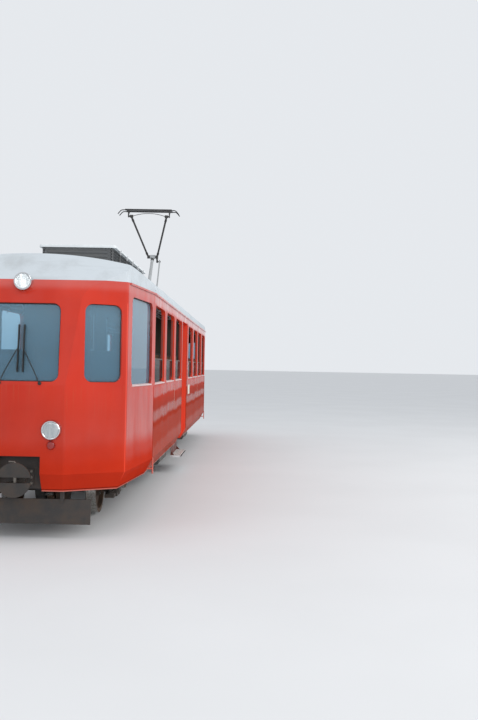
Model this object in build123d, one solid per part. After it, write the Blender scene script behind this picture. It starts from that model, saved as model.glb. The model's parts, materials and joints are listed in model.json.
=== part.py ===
from build123d import *
import os
from math import atan2, cos, degrees, hypot, pi, radians, sin

# Rack railway railcar for metre gauge, in millimetres
# X runs along the car, Y across it, and Z is up from the lowest point of the wheel flanges
# Heights are given above the rail head, and z_at() turns them into the part's own Z

# Wheels, axles and the toothed wheel for the rack
flange_height = 28.0
flange_width = 30.0
back_to_back = 930.0
wheel_width = 125.0
tread_radius = 330.0
rim_depth = 55.0
hub_radius = 105.0
web_start = 45.0
web_end = 75.0
axle_radius = 65.0
journal_radius = 50.0
rack_pitch = 120.0
rack_teeth = 14
tooth_height = 62.0
pinion_width = 90.0
pinion_rim = 45.0
pinion_recess = 30.0
drum_inner = 70.0
drum_width = 110.0
drum_radius = 235.0
running_gap = 0.3

# Heights of the body, stacked up from the wheels
wheel_room = 30.0
sole_bar_depth = 120.0
cross_member_depth = 80.0
floor_thickness = 60.0
sill_above_floor = 710.0
window_height = 1020.0
gutter_above_window = 125.0
shoulder_rise = 25.0
roof_rise = 335.0
crease_below_floor = 250.0
skirt_height = 200.0
skirt_inset = 110.0

# Body shell
body_half_width = 1250.0
wall_thickness = 55.0
shoulder_radius = 210.0
gutter_depth = 18.0
gutter_width = 25.0
inner_run_out = 50.0

# Side of the saloons, from the rear bend of the side to the front one
rear_margin = 80.0
rear_windows = 3
window_width = 1170.0
window_gap = 280.0
pillar_before_door = 150.0
door_width = 1100.0
pillar_after_door = 300.0
front_windows = 4
front_margin = 180.0
window_corner = 90.0
pane_thickness = 8.0
pane_inset = 34.0
pane_seat = 12.0
lowered_pane_height = 320.0

# Tapered cab ends
cab_side_length = 1390.0
cab_nose_depth = 360.0
cab_taper = 0.10
cab_overlap = 400.0
nose_half_width = 500.0
nose_lean = 0.089
corner_radius = 70.0
brow_above_windscreen = 150.0
brow_run = 560.0
brow_radius = 300.0
cab_window_start = 140.0
cab_window_width = 1060.0
windscreen_above_sill = 40.0
windscreen_height = 860.0
windscreen_edge = 80.0
corner_window_start = 70.0
corner_window_width = 430.0

# Doorway, step well and steps
door_head_above_window = 20.0
door_recess = 260.0
jamb_thickness = 50.0
riser_gap = 5.0
well_below_floor = 340.0
well_plate = 40.0
step_height = 280.0
step_depth = 170.0
step_thickness = 30.0
step_riser = 10.0
step_gusset = 70.0
rail_radius = 16.0
rail_inset = 140.0
rail_above_floor = 150.0
rail_length = 1050.0
rail_stand = 70.0
rail_bend = 45.0

# Folding doors
leaf_thickness = 38.0
leaf_gap = 12.0
leaf_corner = 8.0
pivot_inset = 30.0
pivot_pin_radius = 9.0
pin_gap = 1.0
meeting_gap = 16.0
hinge_radius = 6.0
hinge_plate = 4.0
hinge_plate_width = 30.0
hinge_length = 90.0
hinge_places = (0.12, 0.5, 0.88)
leaf_window_margin = 95.0
leaf_window_above_floor = 610.0
leaf_window_below_head = 140.0

# Underframe
sole_bar_offset = 740.0
sole_bar_width = 80.0
cross_member_width = 90.0
cross_member_set_in = 165.0
end_member_set_in = 285.0
end_member_out = 800.0
bogie_member_back = 1650.0
case_member_back = 3150.0
door_member_out = 350.0
bolster_half_length = 250.0
bolster_half_width = 900.0
bolster_gap = 3.0
headstock_set_back = 270.0
headstock_depth = 120.0
headstock_drop = 170.0
headstock_half_width = 800.0
shell_gap = 2.0

# Bogies, with heights from the axle
bogie_set_in = 1050.0
wheelbase_half = 1075.0
frame_offset = 750.0
frame_width = 100.0
frame_overhang = 320.0
frame_end_low = 140.0
frame_end_high = 260.0
frame_middle_low = 15.0
frame_middle_high = 170.0
neck_start = 560.0
neck_end = 820.0
transom_offset = 110.0
transom_width = 100.0
transom_low = 35.0
transom_high = 155.0
cap_thickness = 50.0
cap_half_width = 220.0
pivot_radius = 130.0
air_spring_radius = 135.0
box_half_length = 110.0
box_width = 150.0
box_drop = 105.0
box_wing = 250.0
wing_thickness = 45.0
wing_width = 120.0
spring_offset = 185.0
spring_core_radius = 30.0
spring_seat_radius = 58.0
spring_seat_height = 14.0
shoe_gap = 8.0
shoe_thickness = 45.0
shoe_low = -90.0
shoe_high = 110.0
shoe_width = 82.0

# Traction motors and gear cases, with heights from the axle
motor_rise = 70.0
motor_radius = 200.0
motor_offset = 440.0
motor_length = 400.0
motor_cap = 50.0
gear_case_inner = 75.0
gear_case_width = 120.0
gear_case_radius = 215.0
nose_bracket_low = 60.0
nose_bracket_high = 140.0
nose_bracket_width = 120.0

# Couplers and rail guards
coupler_drop = 40.0
coupler_shank_length = 130.0
coupler_shank_half = 55.0
coupler_head_length = 170.0
coupler_head_half = 95.0
coupler_jaw = 60.0
coupler_jaw_depth = 120.0
coupler_pin_radius = 21.0
coupler_pin_set_back = 60.0
coupler_flange = 25.0
buffer_plate_radius = 185.0
buffer_plate_thickness = 22.0
guard_clearance = 130.0
guard_half_width = 760.0
guard_height = 270.0
guard_plate = 20.0
guard_arm_offset = 420.0
guard_arm = 40.0

# Louvred housing on the roof
roof_box_set_in = 1100.0
roof_box_length = 3300.0
roof_box_half_width = 500.0
roof_box_rise = 390.0
roof_lid_overhang = 50.0
roof_lid_thickness = 40.0
louvre_count = 8
louvre_depth = 45.0
louvre_foot = 60.0

# Pantograph, in the plane along the car
pan_base_x = 3140.0
pan_base_rise = 225.0
lower_arm_length = 1587.0
lower_arm_angle = 48.6
upper_arm_length = 1225.0
upper_arm_angle = 43.55
arm_tail = 150.0
rod_base_forward = 320.0
rod_base_drop = 62.0
rod_side = 162.0
lower_arm_foot_radius = 44.0
lower_arm_radius = 34.0
upper_tube_radius = 22.0
top_boss_radius = 34.0
stay_radius = 7.0
stay_sink = 20.0
stay_rise = 70.0
coupling_rod_radius = 17.0
knuckle_half_width = 110.0
knuckle_radius = 42.0
knuckle_boss = 50.0
knuckle_head_half = 60.0
eye_radius = 46.0
eye_bore = 30.0
crank_radius = 22.0
crank_pin_radius = 12.0
head_half_width = 420.0
pan_pin_radius = 14.0
ear_thickness = 16.0
ear_gap = 6.0
ear_half = 60.0
pan_frame_half_width = 420.0
pan_frame_rear = 330.0
pan_frame_front = 900.0
pan_frame_width = 50.0
pan_frame_depth = 70.0
pan_frame_drop = 40.0
pan_rail_set_back = 180.0
pan_rail_thickness = 12.0
insulator_radius = 55.0
insulator_ribs = (0.12, 0.42, 0.72)
head_rise = 150.0
strip_half_length = 550.0
strip_spacing = 230.0
strip_width = 40.0
strip_thickness = 34.0
horn_half_length = 720.0
horn_drop = 95.0
horn_radius = 11.0
horn_bend = 90.0
cheek_offset = 65.0
cheek_thickness = 24.0
cheek_half_length = 25.0
carrier_depth = 30.0

# Inside
bench_inner = 260.0
bench_side_gap = 30.0
bench_seat_height = 430.0
bench_seat_depth = 460.0
bench_back_height = 1120.0
bench_back_thickness = 36.0
bench_back_foot = 60.0
bench_back_bulge = 9.0
bench_slab = 45.0
bench_dish = 22.0
bench_roll = 20.0
bench_leg = 30.0
bench_leg_top = 120.0
bench_leg_foot = 240.0
bench_leg_set_in = 120.0
bench_wall_gap = 60.0
partition_thickness = 30.0
partition_offset = 40.0
partition_hole_inner = 430.0
partition_hole_width = 590.0
screen_thickness = 25.0
screen_door_half = 330.0
desk_depth = 320.0
desk_height = 760.0
desk_set_back = 160.0
desk_half_width = 430.0
driver_set_in = 480.0
driver_half = 220.0
driver_seat_height = 420.0
driver_back_height = 1020.0
driver_cushion = 80.0
driver_post_radius = 45.0

# Lamps on the ends
lamp_below_sill = 480.0
lamp_offset = 360.0
lamp_radius = 95.0
lamp_depth = 45.0
top_lamp_above_window = 110.0
top_lamp_radius = 85.0
top_lamp_length = 155.0
top_lamp_front = 48.0

# Cases and tanks below the floor
case_clearance = 300.0
transformer_clearance = 260.0
transformer_half_width = 560.0
case_inner = 620.0
case_set_in = 220.0
case_length = 1150.0
case_edge = 25.0
tank_radius = 120.0
tank_length = 1150.0
tank_drop = 50.0
tank_places = (590.0, 930.0)
strap_width = 50.0
strap_places = (0.2, 0.75)
strap_sink = 0.9

# Values worked out from those above
rack_line_height = tread_radius - rack_pitch * rack_teeth / (2 * pi)
underframe_bottom = 2 * tread_radius + wheel_room
cross_member_bottom = underframe_bottom + sole_bar_depth
floor_underside = cross_member_bottom + cross_member_depth
floor_height = floor_underside + floor_thickness
sill_height = floor_height + sill_above_floor
window_top = sill_height + window_height
gutter_height = window_top + gutter_above_window
shoulder_height = gutter_height + shoulder_rise
roof_crown = shoulder_height + roof_rise
crease_height = floor_height - crease_below_floor
skirt_bottom = crease_height - skirt_height
skirt_half_width = body_half_width - skirt_inset
skirt_slope = skirt_inset / skirt_height
window_pitch = window_width + window_gap
rear_run = rear_windows * window_pitch - window_gap
front_run = front_windows * window_pitch - window_gap
doorway_run = pillar_before_door + door_width + pillar_after_door
saloon_half_length = (rear_margin + rear_run + doorway_run + front_run + front_margin) / 2
rear_first_window = rear_margin - saloon_half_length
door_rear = rear_first_window + rear_run + pillar_before_door
door_front = door_rear + door_width
front_first_window = door_front + pillar_after_door
surround_rear = door_rear - pillar_before_door / 2
surround_front = door_front + pillar_after_door / 2
door_head = window_top + door_head_above_window
door_plane = body_half_width - door_recess
well_inner = door_plane - leaf_thickness - leaf_gap
well_step_height = floor_height - well_below_floor
windscreen_sill = sill_height + windscreen_above_sill
windscreen_top = windscreen_sill + windscreen_height
nose_x = saloon_half_length + cab_side_length + cab_nose_depth
cab_corner = (saloon_half_length + cab_side_length, body_half_width - cab_taper * cab_side_length)
nose_corner = (nose_x, nose_half_width)
headstock_start = nose_x - headstock_set_back
headstock_front = headstock_start + headstock_depth
headstock_bottom = underframe_bottom - headstock_drop
coupler_height = underframe_bottom - coupler_drop
coupler_head_start = headstock_front + coupler_shank_length
coupler_reach = coupler_head_start + coupler_head_length
bogie_centre = saloon_half_length - bogie_set_in
roof_box_rear = roof_box_set_in - saloon_half_length
roof_box_front = roof_box_rear + roof_box_length
roof_box_top = roof_crown + roof_box_rise
pan_base_height = roof_crown + pan_base_rise
bench_outer = body_half_width - wall_thickness - bench_side_gap
case_outer = body_half_width - case_set_in
cross_member_reach = body_half_width - cross_member_set_in
end_member_reach = body_half_width - end_member_set_in
beyond = 2 * body_half_width


# Small helpers
def z_at(height):
    return height + flange_height


def from_axle(rise):
    return z_at(tread_radius + rise)


def block(x0, x1, y0, y1, z0, z1):
    corner = (min(x0, x1), min(y0, y1), min(z0, z1))
    size = (abs(x1 - x0), abs(y1 - y0), abs(z1 - z0))
    return Pos(*corner) * Box(*size, align=(Align.MIN, Align.MIN, Align.MIN))


def rod(start, end, radius):
    line = Vector(*end) - Vector(*start)
    along = Plane(origin=start, z_dir=line)
    return along * Cylinder(radius, line.length, align=(Align.CENTER, Align.CENTER, Align.MIN))


def cross_rod(x, z, y0, y1, radius):
    return rod((x, y0, z), (x, y1, z), radius)


def prism_x(points, x0, x1):
    """A polygon drawn in Y and Z, extruded from x0 to x1"""
    face = make_face(Polyline([(x0, y, z) for y, z in points], close=True))
    return extrude(face, x1 - x0, dir=(1, 0, 0))


def prism_y(points, y0, y1):
    """A polygon drawn in X and Z, extruded from y0 to y1"""
    face = make_face(Polyline([(x, 0, z) for x, z in points], close=True))
    return Pos(0, min(y0, y1), 0) * extrude(face, abs(y1 - y0), dir=(0, 1, 0))


def group(shapes):
    return Compound([solid for shape in shapes for solid in shape.solids()])


def both_sides(shape):
    return group([shape, mirror(shape, about=Plane.XZ)])


def both_ends(shape):
    return group([shape, mirror(shape, about=Plane.YZ)])


def fuse_all(shapes):
    first, *rest = shapes
    return first.fuse(*rest)


def save(shape, node):
    export_step(group([shape]), f"parts/{node}.step")


# Body cross-section, offset inwards by a wall
def body_section(inset):
    centre_y = body_half_width - shoulder_radius
    rise = roof_crown - shoulder_height
    crown_radius = (centre_y**2 + rise**2 - shoulder_radius**2) / (2 * (rise - shoulder_radius))
    crown_centre = roof_crown - crown_radius
    tangent_angle = atan2(centre_y, shoulder_height - crown_centre)
    middle_angle = (tangent_angle + pi / 2) / 2
    radius = shoulder_radius - inset
    run_out = inner_run_out if inset else 0.0

    def shoulder_point(angle):
        return (centre_y + radius * sin(angle), z_at(shoulder_height) + radius * cos(angle))

    side = body_half_width - inset
    low = (skirt_half_width - inset - skirt_slope * run_out, z_at(skirt_bottom) - run_out)
    right = [low, (side, z_at(crease_height)), (side, z_at(shoulder_height))]
    bend = [shoulder_point(middle_angle), shoulder_point(tangent_angle)]

    def at(point, mirrored):
        return (0, -point[0] if mirrored else point[0], point[1])

    edges = []
    for mirrored in (False, True):
        corners = [at(p, mirrored) for p in right]
        edges += [Line(corners[0], corners[1]), Line(corners[1], corners[2])]
        edges.append(ThreePointArc(corners[2], at(bend[0], mirrored), at(bend[1], mirrored)))
    crown = (0, 0, z_at(roof_crown) - inset)
    edges.append(ThreePointArc(at(bend[1], False), crown, at(bend[1], True)))
    edges.append(Line(at(right[0], False), at(right[0], True)))
    return make_face(edges)


def body_tube(inset, x0, x1):
    return Pos(x0, 0, 0) * extrude(body_section(inset), x1 - x0, dir=(1, 0, 0))


def body_ring(x0, x1):
    return body_tube(0, x0, x1) - body_tube(wall_thickness, x0 - 1, x1 + 1)


# Plan and profile of the tapered cab end, offset inwards by a wall
def inset_polygon(points, inset):
    """Corners of a convex, anticlockwise polygon with every edge moved inwards"""
    moved = []
    count = len(points)
    for i in range(count):
        before, here, after = points[i - 1], points[i], points[(i + 1) % count]
        in_edge = (here[0] - before[0], here[1] - before[1])
        out_edge = (after[0] - here[0], after[1] - here[1])
        in_length, out_length = hypot(*in_edge), hypot(*out_edge)
        in_normal = (-in_edge[1] / in_length, in_edge[0] / in_length)
        out_normal = (-out_edge[1] / out_length, out_edge[0] / out_length)
        scale = inset / (1 + in_normal[0] * out_normal[0] + in_normal[1] * out_normal[1])
        x = here[0] + scale * (in_normal[0] + out_normal[0])
        y = here[1] + scale * (in_normal[1] + out_normal[1])
        moved.append((x, y))
    return moved


def plan_face(inset, z):
    """Plan of the cab end, starting well inside the saloon so that the offset keeps the sides true"""
    back = saloon_half_length - cab_overlap
    back_half = body_half_width + cab_taper * cab_overlap
    outline = [
        (back, -back_half),
        (cab_corner[0], -cab_corner[1]),
        (nose_corner[0], -nose_corner[1]),
        nose_corner,
        cab_corner,
        (back, back_half),
    ]
    corners = inset_polygon(outline, inset)
    face = make_face(Polyline([(x, y, z) for x, y in corners], close=True))
    bends = [v for v in face.vertices() if v.X > saloon_half_length]
    return fillet(bends, max(corner_radius - inset, corner_radius / 8))


def cab_profile(inset):
    """Side view of the cab end: upright front, leaning windscreen and a roof that curves down to it"""
    top = z_at(roof_crown) + wall_thickness
    low = z_at(skirt_bottom) - cab_overlap
    brow = windscreen_top + brow_above_windscreen
    brow_x = nose_x - nose_lean * (brow - sill_height)
    back = saloon_half_length - cab_overlap
    outline = [
        (back, low),
        (nose_x, low),
        (nose_x, z_at(sill_height)),
        (brow_x, z_at(brow)),
        (brow_x - brow_run, top),
        (back, top),
    ]
    corners = inset_polygon(outline, inset)
    face = make_face(Polyline([(x, 0, z) for x, z in corners], close=True))
    brow_z = corners[3][1]
    bends = [v for v in face.vertices() if abs(v.Z - brow_z) < 1.0 and v.X > saloon_half_length]
    return fillet(bends, brow_radius - inset)


def cab_solid(inset):
    """The whole outer form of the cab end, or the space inside it"""
    crease = z_at(crease_height)
    tall = extrude(plan_face(inset, crease), roof_crown, dir=(0, 0, 1))
    profile = extrude(cab_profile(inset), beyond, dir=(0, 1, 0), both=True)
    start = saloon_half_length - cab_overlap / 2
    upper = tall & profile & body_tube(inset, start, nose_x + wall_thickness)
    drop = skirt_height + (inner_run_out if inset else 0.0)
    bottom = crease - drop
    low_inset = inset + skirt_slope * drop
    lower = loft([plan_face(low_inset, bottom), plan_face(inset, crease)], ruled=True)
    back = saloon_half_length - (1.0 if inset else 0.0)
    keep = block(back, nose_x + wall_thickness, -beyond, beyond, bottom, 2 * z_at(roof_crown))
    return (upper + lower) & keep


# Frames on the flat faces of the cab, with local X along the face and local Y outwards
def facet(start, end):
    along = Vector(end[0] - start[0], end[1] - start[1], 0).normalized()
    return Plane(origin=(start[0], start[1], 0), x_dir=along, z_dir=(0, 0, 1))


cab_side_facet = facet((saloon_half_length, body_half_width), cab_corner)
cab_corner_facet = facet(cab_corner, nose_corner)


def rounded_cut(width, height, radius, depth):
    """A rounded upright opening, with its lower left corner at the origin, cut along local Y"""
    shape = Pos(width / 2, height / 2) * RectangleRounded(width, height, radius)
    return Rot(90, 0, 0) * extrude(shape, depth, both=True)


def window_hole(x, sill, width, top):
    hole = rounded_cut(width, top - sill, window_corner, 3 * wall_thickness)
    return Pos(x, 0, z_at(sill)) * hole


def window_pane(x, sill, width, top, outer):
    """A pane that stands in a groove all round, with its outer face set in from the skin"""
    x0, x1 = x - pane_seat, x + width + pane_seat
    face = outer - pane_inset
    return block(x0, x1, face - pane_thickness, face, z_at(sill) - pane_seat, z_at(top))


# Side walls of the saloons
window_runs = {
    # first window, number of windows, rear end and front end of the wall
    "rear": (rear_first_window, rear_windows, -saloon_half_length, surround_rear),
    "front": (front_first_window, front_windows, surround_front, saloon_half_length),
}


def side_wall(first, count, x0, x1):
    """One saloon side on the +Y side, with its windows and the lowered panes' grooves cut"""
    wall = body_ring(x0, x1) & block(x0, x1, 0, beyond, 0, z_at(gutter_height))
    panes = []
    for i in range(count):
        x = first + i * window_pitch
        wall -= Pos(0, body_half_width, 0) * window_hole(x, sill_height, window_width, window_top)
        pane_top = sill_height + lowered_pane_height
        panes.append(window_pane(x, sill_height, window_width, pane_top, body_half_width))
    for pane in panes:
        wall -= pane
    return wall, panes


# Doorway: skin, jambs, header, step well and riser
def door_surround():
    skin = body_ring(surround_rear, surround_front)
    skin &= block(surround_rear, surround_front, 0, beyond, 0, z_at(gutter_height))
    skin -= block(door_rear, door_front, door_plane, beyond, 0, z_at(door_head))
    outer_y = body_half_width - wall_thickness
    inner_skirt = skirt_half_width - wall_thickness
    head_z = z_at(door_head)
    jamb_edge = [
        (well_inner, z_at(skirt_bottom)),
        (inner_skirt, z_at(skirt_bottom)),
        (outer_y, z_at(crease_height)),
        (outer_y, head_z + jamb_thickness),
        (well_inner, head_z + jamb_thickness),
    ]
    rear_jamb = prism_x(jamb_edge, door_rear - jamb_thickness, door_rear)
    front_jamb = prism_x(jamb_edge, door_front, door_front + jamb_thickness)
    header = block(door_rear, door_front, well_inner, outer_y, head_z, head_z + jamb_thickness)
    step_z = z_at(well_step_height)
    step_edge = inner_skirt + skirt_slope * (well_step_height - skirt_bottom)
    tread = block(door_rear, door_front, well_inner, step_edge, step_z - well_plate, step_z)
    riser = block(door_rear, door_front, well_inner, door_plane - riser_gap, step_z, z_at(floor_height))
    return fuse_all([skin, rear_jamb, front_jamb, header, tread, riser])


# Cab shells with their windows
def cab_window_parts():
    """Cuts and panes of one cab end, as lists on the +X end"""
    cuts, panes = [], []
    side_hole = window_hole(cab_window_start, sill_height, cab_window_width, window_top)
    side_pane = window_pane(cab_window_start, sill_height, cab_window_width, window_top + pane_seat, 0)
    start, width = corner_window_start, corner_window_width
    corner_hole = window_hole(start, windscreen_sill, width, windscreen_top)
    corner_pane = window_pane(start, windscreen_sill, width, windscreen_top + pane_seat, 0)
    for frame, hole, pane in (
        (cab_side_facet, side_hole, side_pane),
        (cab_corner_facet, corner_hole, corner_pane),
    ):
        cuts.append(both_sides(Location(frame) * hole))
        panes.append(both_sides(Location(frame) * pane))
    lean = degrees(atan2(nose_lean, 1.0))
    front = Pos(nose_x, 0, z_at(sill_height)) * Rot(0, -lean, 0) * Rot(0, 0, -90)
    half = nose_half_width - windscreen_edge
    hole = rounded_cut(2 * half, windscreen_height, window_corner, 3 * wall_thickness)
    cuts.append(front * Pos(-half, 0, windscreen_above_sill) * hole)
    low, high = windscreen_above_sill - pane_seat, windscreen_above_sill + windscreen_height + pane_seat
    reach = half + pane_seat
    panes.append(front * block(-reach, reach, -pane_inset - pane_thickness, -pane_inset, low, high))
    return cuts, panes


def cab_shell():
    shell = cab_solid(0) - cab_solid(wall_thickness)
    cuts, panes = cab_window_parts()
    for cut in [*group(cuts).solids(), *group(panes).solids()]:
        shell -= cut
    reach = buffer_plate_radius + wall_thickness
    mouth = block(headstock_start, nose_x + reach, -reach, reach, 0, z_at(coupler_height) + reach)
    return fuse_all([shell - mouth, *cab_gutters()]), panes


def cab_gutters():
    """Rain gutters that carry on from the roof's, along the sides of the cab to their bend"""
    low = z_at(gutter_height)
    length = hypot(cab_side_length, cab_taper * cab_side_length) - corner_radius
    strip = block(-gutter_depth, length, -gutter_depth / 2, gutter_depth, low, low + gutter_width)
    placed = Location(cab_side_facet) * strip
    placed &= block(saloon_half_length, nose_x, 0, beyond, low, low + gutter_width)
    return both_sides(placed).solids()


# Roof with its rain gutters
def roof_shell():
    half = saloon_half_length
    low = z_at(gutter_height)
    roof = body_ring(-half, half) & block(-half, half, -beyond, beyond, low, 2 * z_at(roof_crown))
    outer = body_half_width + gutter_depth
    gutter = block(-half, half, body_half_width - gutter_depth / 2, outer, low, low + gutter_width)
    return fuse_all([roof, *both_sides(gutter).solids()])


# Louvred housing on the roof, with saw-tooth sides
def roof_box():
    low = z_at(roof_crown) - louvre_foot
    high = z_at(roof_box_top)
    slat = (roof_box_rise - louvre_foot) / louvre_count
    start = high - slat * louvre_count
    side = [(roof_box_half_width, low), (roof_box_half_width, start)]
    for i in range(louvre_count):
        z = start + i * slat
        side += [(roof_box_half_width - louvre_depth, z + 0.3 * slat), (roof_box_half_width, z + slat)]
    outline = side + [(-y, z) for y, z in reversed(side)]
    body = prism_x(outline, roof_box_rear, roof_box_front)
    return body - body_tube(0, roof_box_rear - louvre_foot, roof_box_front + louvre_foot)


def roof_box_lid():
    length = roof_box_length + roof_lid_overhang
    half = roof_box_half_width + roof_lid_overhang
    lid = extrude(RectangleRounded(length, 2 * half, roof_lid_overhang), roof_lid_thickness)
    lid = chamfer(lid.faces().sort_by(Axis.Z)[-1].edges(), roof_lid_thickness / 3)
    return Pos((roof_box_front + roof_box_rear) / 2, 0, z_at(roof_box_top)) * lid


# Floor slab, cut out for the step wells
def floor_slab():
    low, high = z_at(floor_underside), z_at(floor_height)
    half = body_half_width - wall_thickness
    saloon = block(-saloon_half_length, saloon_half_length, -half, half, low, high)
    cab = extrude(plan_face(wall_thickness, low), high - low, dir=(0, 0, 1))
    cab &= block(saloon_half_length, nose_x, -beyond, beyond, low, high)
    slab = fuse_all([saloon, *both_ends(cab).solids()])
    rear_x, front_x = door_rear - jamb_thickness, door_front + jamb_thickness
    well = block(rear_x, front_x, well_inner, beyond, low - 1, high + 1)
    for cut in both_sides(well).solids():
        slab -= cut
    return slab


# Underframe: sole bars, with cross members, bolsters and headstocks laid on or against them
def sole_bars():
    low, high = z_at(underframe_bottom), z_at(cross_member_bottom)
    inner, outer = sole_bar_offset - sole_bar_width / 2, sole_bar_offset + sole_bar_width / 2
    return both_sides(block(-headstock_start, headstock_start, inner, outer, low, high))


end_member = saloon_half_length + end_member_out
bogie_member = bogie_centre - bogie_member_back
case_member = bogie_centre - case_member_back
door_member = door_front + door_member_out
cross_member_table = (
    # rear edge of the member, reach to each side
    (-end_member - cross_member_width, end_member_reach),
    (-bogie_member - cross_member_width, cross_member_reach),
    (door_rear - jamb_thickness - 2 * cross_member_width, cross_member_reach),
    (door_member, cross_member_reach),
    (case_member, cross_member_reach),
    (bogie_member, cross_member_reach),
    (end_member, end_member_reach),
)


def cross_members():
    low, high = z_at(cross_member_bottom), z_at(floor_underside)
    pieces = [block(x, x + cross_member_width, -reach, reach, low, high) for x, reach in cross_member_table]
    base = z_at(underframe_bottom)
    inner = sole_bar_offset - sole_bar_width / 2 - bolster_gap
    outer = sole_bar_offset + sole_bar_width / 2 + bolster_gap
    x0, x1 = bogie_centre - bolster_half_length, bogie_centre + bolster_half_length
    bolster = fuse_all(
        [
            block(x0, x1, -bolster_half_width, bolster_half_width, low, high),
            block(x0, x1, -inner, inner, base, low),
            block(x0, x1, outer, bolster_half_width, base, low),
            block(x0, x1, -bolster_half_width, -outer, base, low),
        ]
    )
    half = headstock_half_width
    headstock = block(headstock_start, headstock_front, -half, half, z_at(headstock_bottom), high)
    headstock &= cab_solid(wall_thickness + shell_gap)
    return group([*pieces, both_ends(bolster), both_ends(headstock)])


# Central couplers, with an upright pin through a jaw
def coupler():
    z = z_at(coupler_height)
    half, shank_half = coupler_head_half, coupler_shank_half
    x = coupler_head_start
    shank = block(headstock_front, x, -shank_half, shank_half, z - shank_half, z + shank_half)
    head = block(x, coupler_reach, -half, half, z - half, z + half)
    plate_back = coupler_reach - buffer_plate_thickness
    plate = rod((plate_back, 0, z), (coupler_reach, 0, z), buffer_plate_radius)
    flange_half = half + 2 * coupler_flange
    flange_x = headstock_front + coupler_flange
    flange = block(headstock_front, flange_x, -flange_half, flange_half, z - half, z + half)
    body = fuse_all([shank, head, plate, flange])
    jaw = coupler_jaw / 2
    jaw_x = coupler_reach - coupler_jaw_depth
    wide = 2 * buffer_plate_radius
    body -= block(jaw_x, coupler_reach + jaw, -wide, wide, z - jaw, z + jaw)
    pin_x = coupler_reach - coupler_pin_set_back
    return body - rod((pin_x, 0, z - wide), (pin_x, 0, z + wide), coupler_pin_radius)


# Rail guard below each headstock, raised over the rack
def rail_guard():
    low = z_at(guard_clearance)
    high = low + guard_height
    x = headstock_start + guard_plate
    foot = x + 2 * guard_plate
    plate = [(foot, low), (foot + guard_plate, low), (x + guard_plate, high), (x, high)]
    pieces = [prism_y(plate, -guard_half_width, guard_half_width)]
    for side in (-1, 1):
        y0, y1 = side * guard_arm_offset, side * (guard_arm_offset + guard_arm)
        pieces.append(block(x, x + guard_arm, y0, y1, high - guard_arm, z_at(headstock_bottom)))
    return fuse_all(pieces)


# Bogie: swan-neck side frames, transoms, centre pivot, axle boxes, springs and brake shoes
def bogie_frame(centre):
    end = wheelbase_half + frame_overhang
    low, high = from_axle(frame_end_low), from_axle(frame_end_high)
    middle_low, middle_high = from_axle(frame_middle_low), from_axle(frame_middle_high)
    upper = [(-end, high), (-neck_end, high), (-neck_start, middle_high)]
    lower = [(-neck_start, middle_low), (-neck_end, low), (-end, low)]
    outline = upper + [(-x, z) for x, z in reversed(upper)] + [(-x, z) for x, z in reversed(lower)] + lower
    inner_y, outer_y = frame_offset - frame_width / 2, frame_offset + frame_width / 2
    pieces = [*both_sides(prism_y(outline, inner_y, outer_y)).solids()]
    cap_low = from_axle(transom_high)
    cap_reach = transom_offset + transom_width
    for sign in (-1, 1):
        x0, x1 = sign * transom_offset, sign * cap_reach
        pieces.append(block(x0, x1, -inner_y, inner_y, from_axle(transom_low), cap_low))
    cap = block(-cap_reach, cap_reach, -cap_half_width, cap_half_width, cap_low, cap_low + cap_thickness)
    carried = z_at(underframe_bottom)
    pieces += [cap, rod((0, 0, cap_low), (0, 0, carried), pivot_radius)]
    for side in (-1, 1):
        y = side * frame_offset
        pieces.append(rod((0, y, middle_high), (0, y, carried), air_spring_radius))
        for sign in (-1, 1):
            pieces += axle_box(sign * wheelbase_half, side)
            pieces.append(brake_shoe(sign, side))
    return Pos(centre, 0, 0) * fuse_all(pieces)


def axle_box(x, side):
    y = side * frame_offset
    half = box_width / 2
    low, wing_top = from_axle(-box_drop), from_axle(-box_drop) + wing_thickness
    frame_low = from_axle(frame_end_low)
    body = block(x - box_half_length, x + box_half_length, y - half, y + half, low, frame_low)
    body += block(x - box_wing, x + box_wing, y - wing_width / 2, y + wing_width / 2, low, wing_top)
    bore_start, bore_end = y + side * half * 0.7, y - side * (half + running_gap)
    body -= cross_rod(x, from_axle(0), bore_start, bore_end, journal_radius + running_gap)
    springs = []
    for offset in (-spring_offset, spring_offset):
        at = x + offset
        low_seat, high_seat = wing_top + spring_seat_height, frame_low - spring_seat_height
        springs.append(rod((at, y, wing_top), (at, y, frame_low), spring_core_radius))
        springs.append(rod((at, y, wing_top), (at, y, low_seat), spring_seat_radius))
        springs.append(rod((at, y, high_seat), (at, y, frame_low), spring_seat_radius))
    return [body, *springs]


def brake_shoe(sign, side):
    """A shoe on the bogie's side of the wheel, hung from the side frame"""
    wheel_x = sign * wheelbase_half
    reach = tread_radius + shoe_gap
    back_x = wheel_x - sign * (reach + shoe_thickness)
    front_x = wheel_x - sign * reach * 0.9
    y0 = side * (back_to_back / 2 + wheel_width)
    y1 = y0 - side * shoe_width
    shoe = block(back_x, front_x, y0, y1, from_axle(shoe_low), from_axle(shoe_high))
    shoe -= cross_rod(wheel_x, from_axle(0), y0 - side * wheel_width, y0 + side * wheel_width, reach)
    hanger_x = back_x + sign * shoe_thickness / 2
    top = from_axle(frame_middle_high)
    arm_end = side * (frame_offset - frame_width / 2)
    shoe += block(back_x, hanger_x, y0, y1, from_axle(shoe_high), top)
    return shoe + block(back_x, hanger_x, y1, arm_end, top - shoe_thickness, top)


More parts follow.
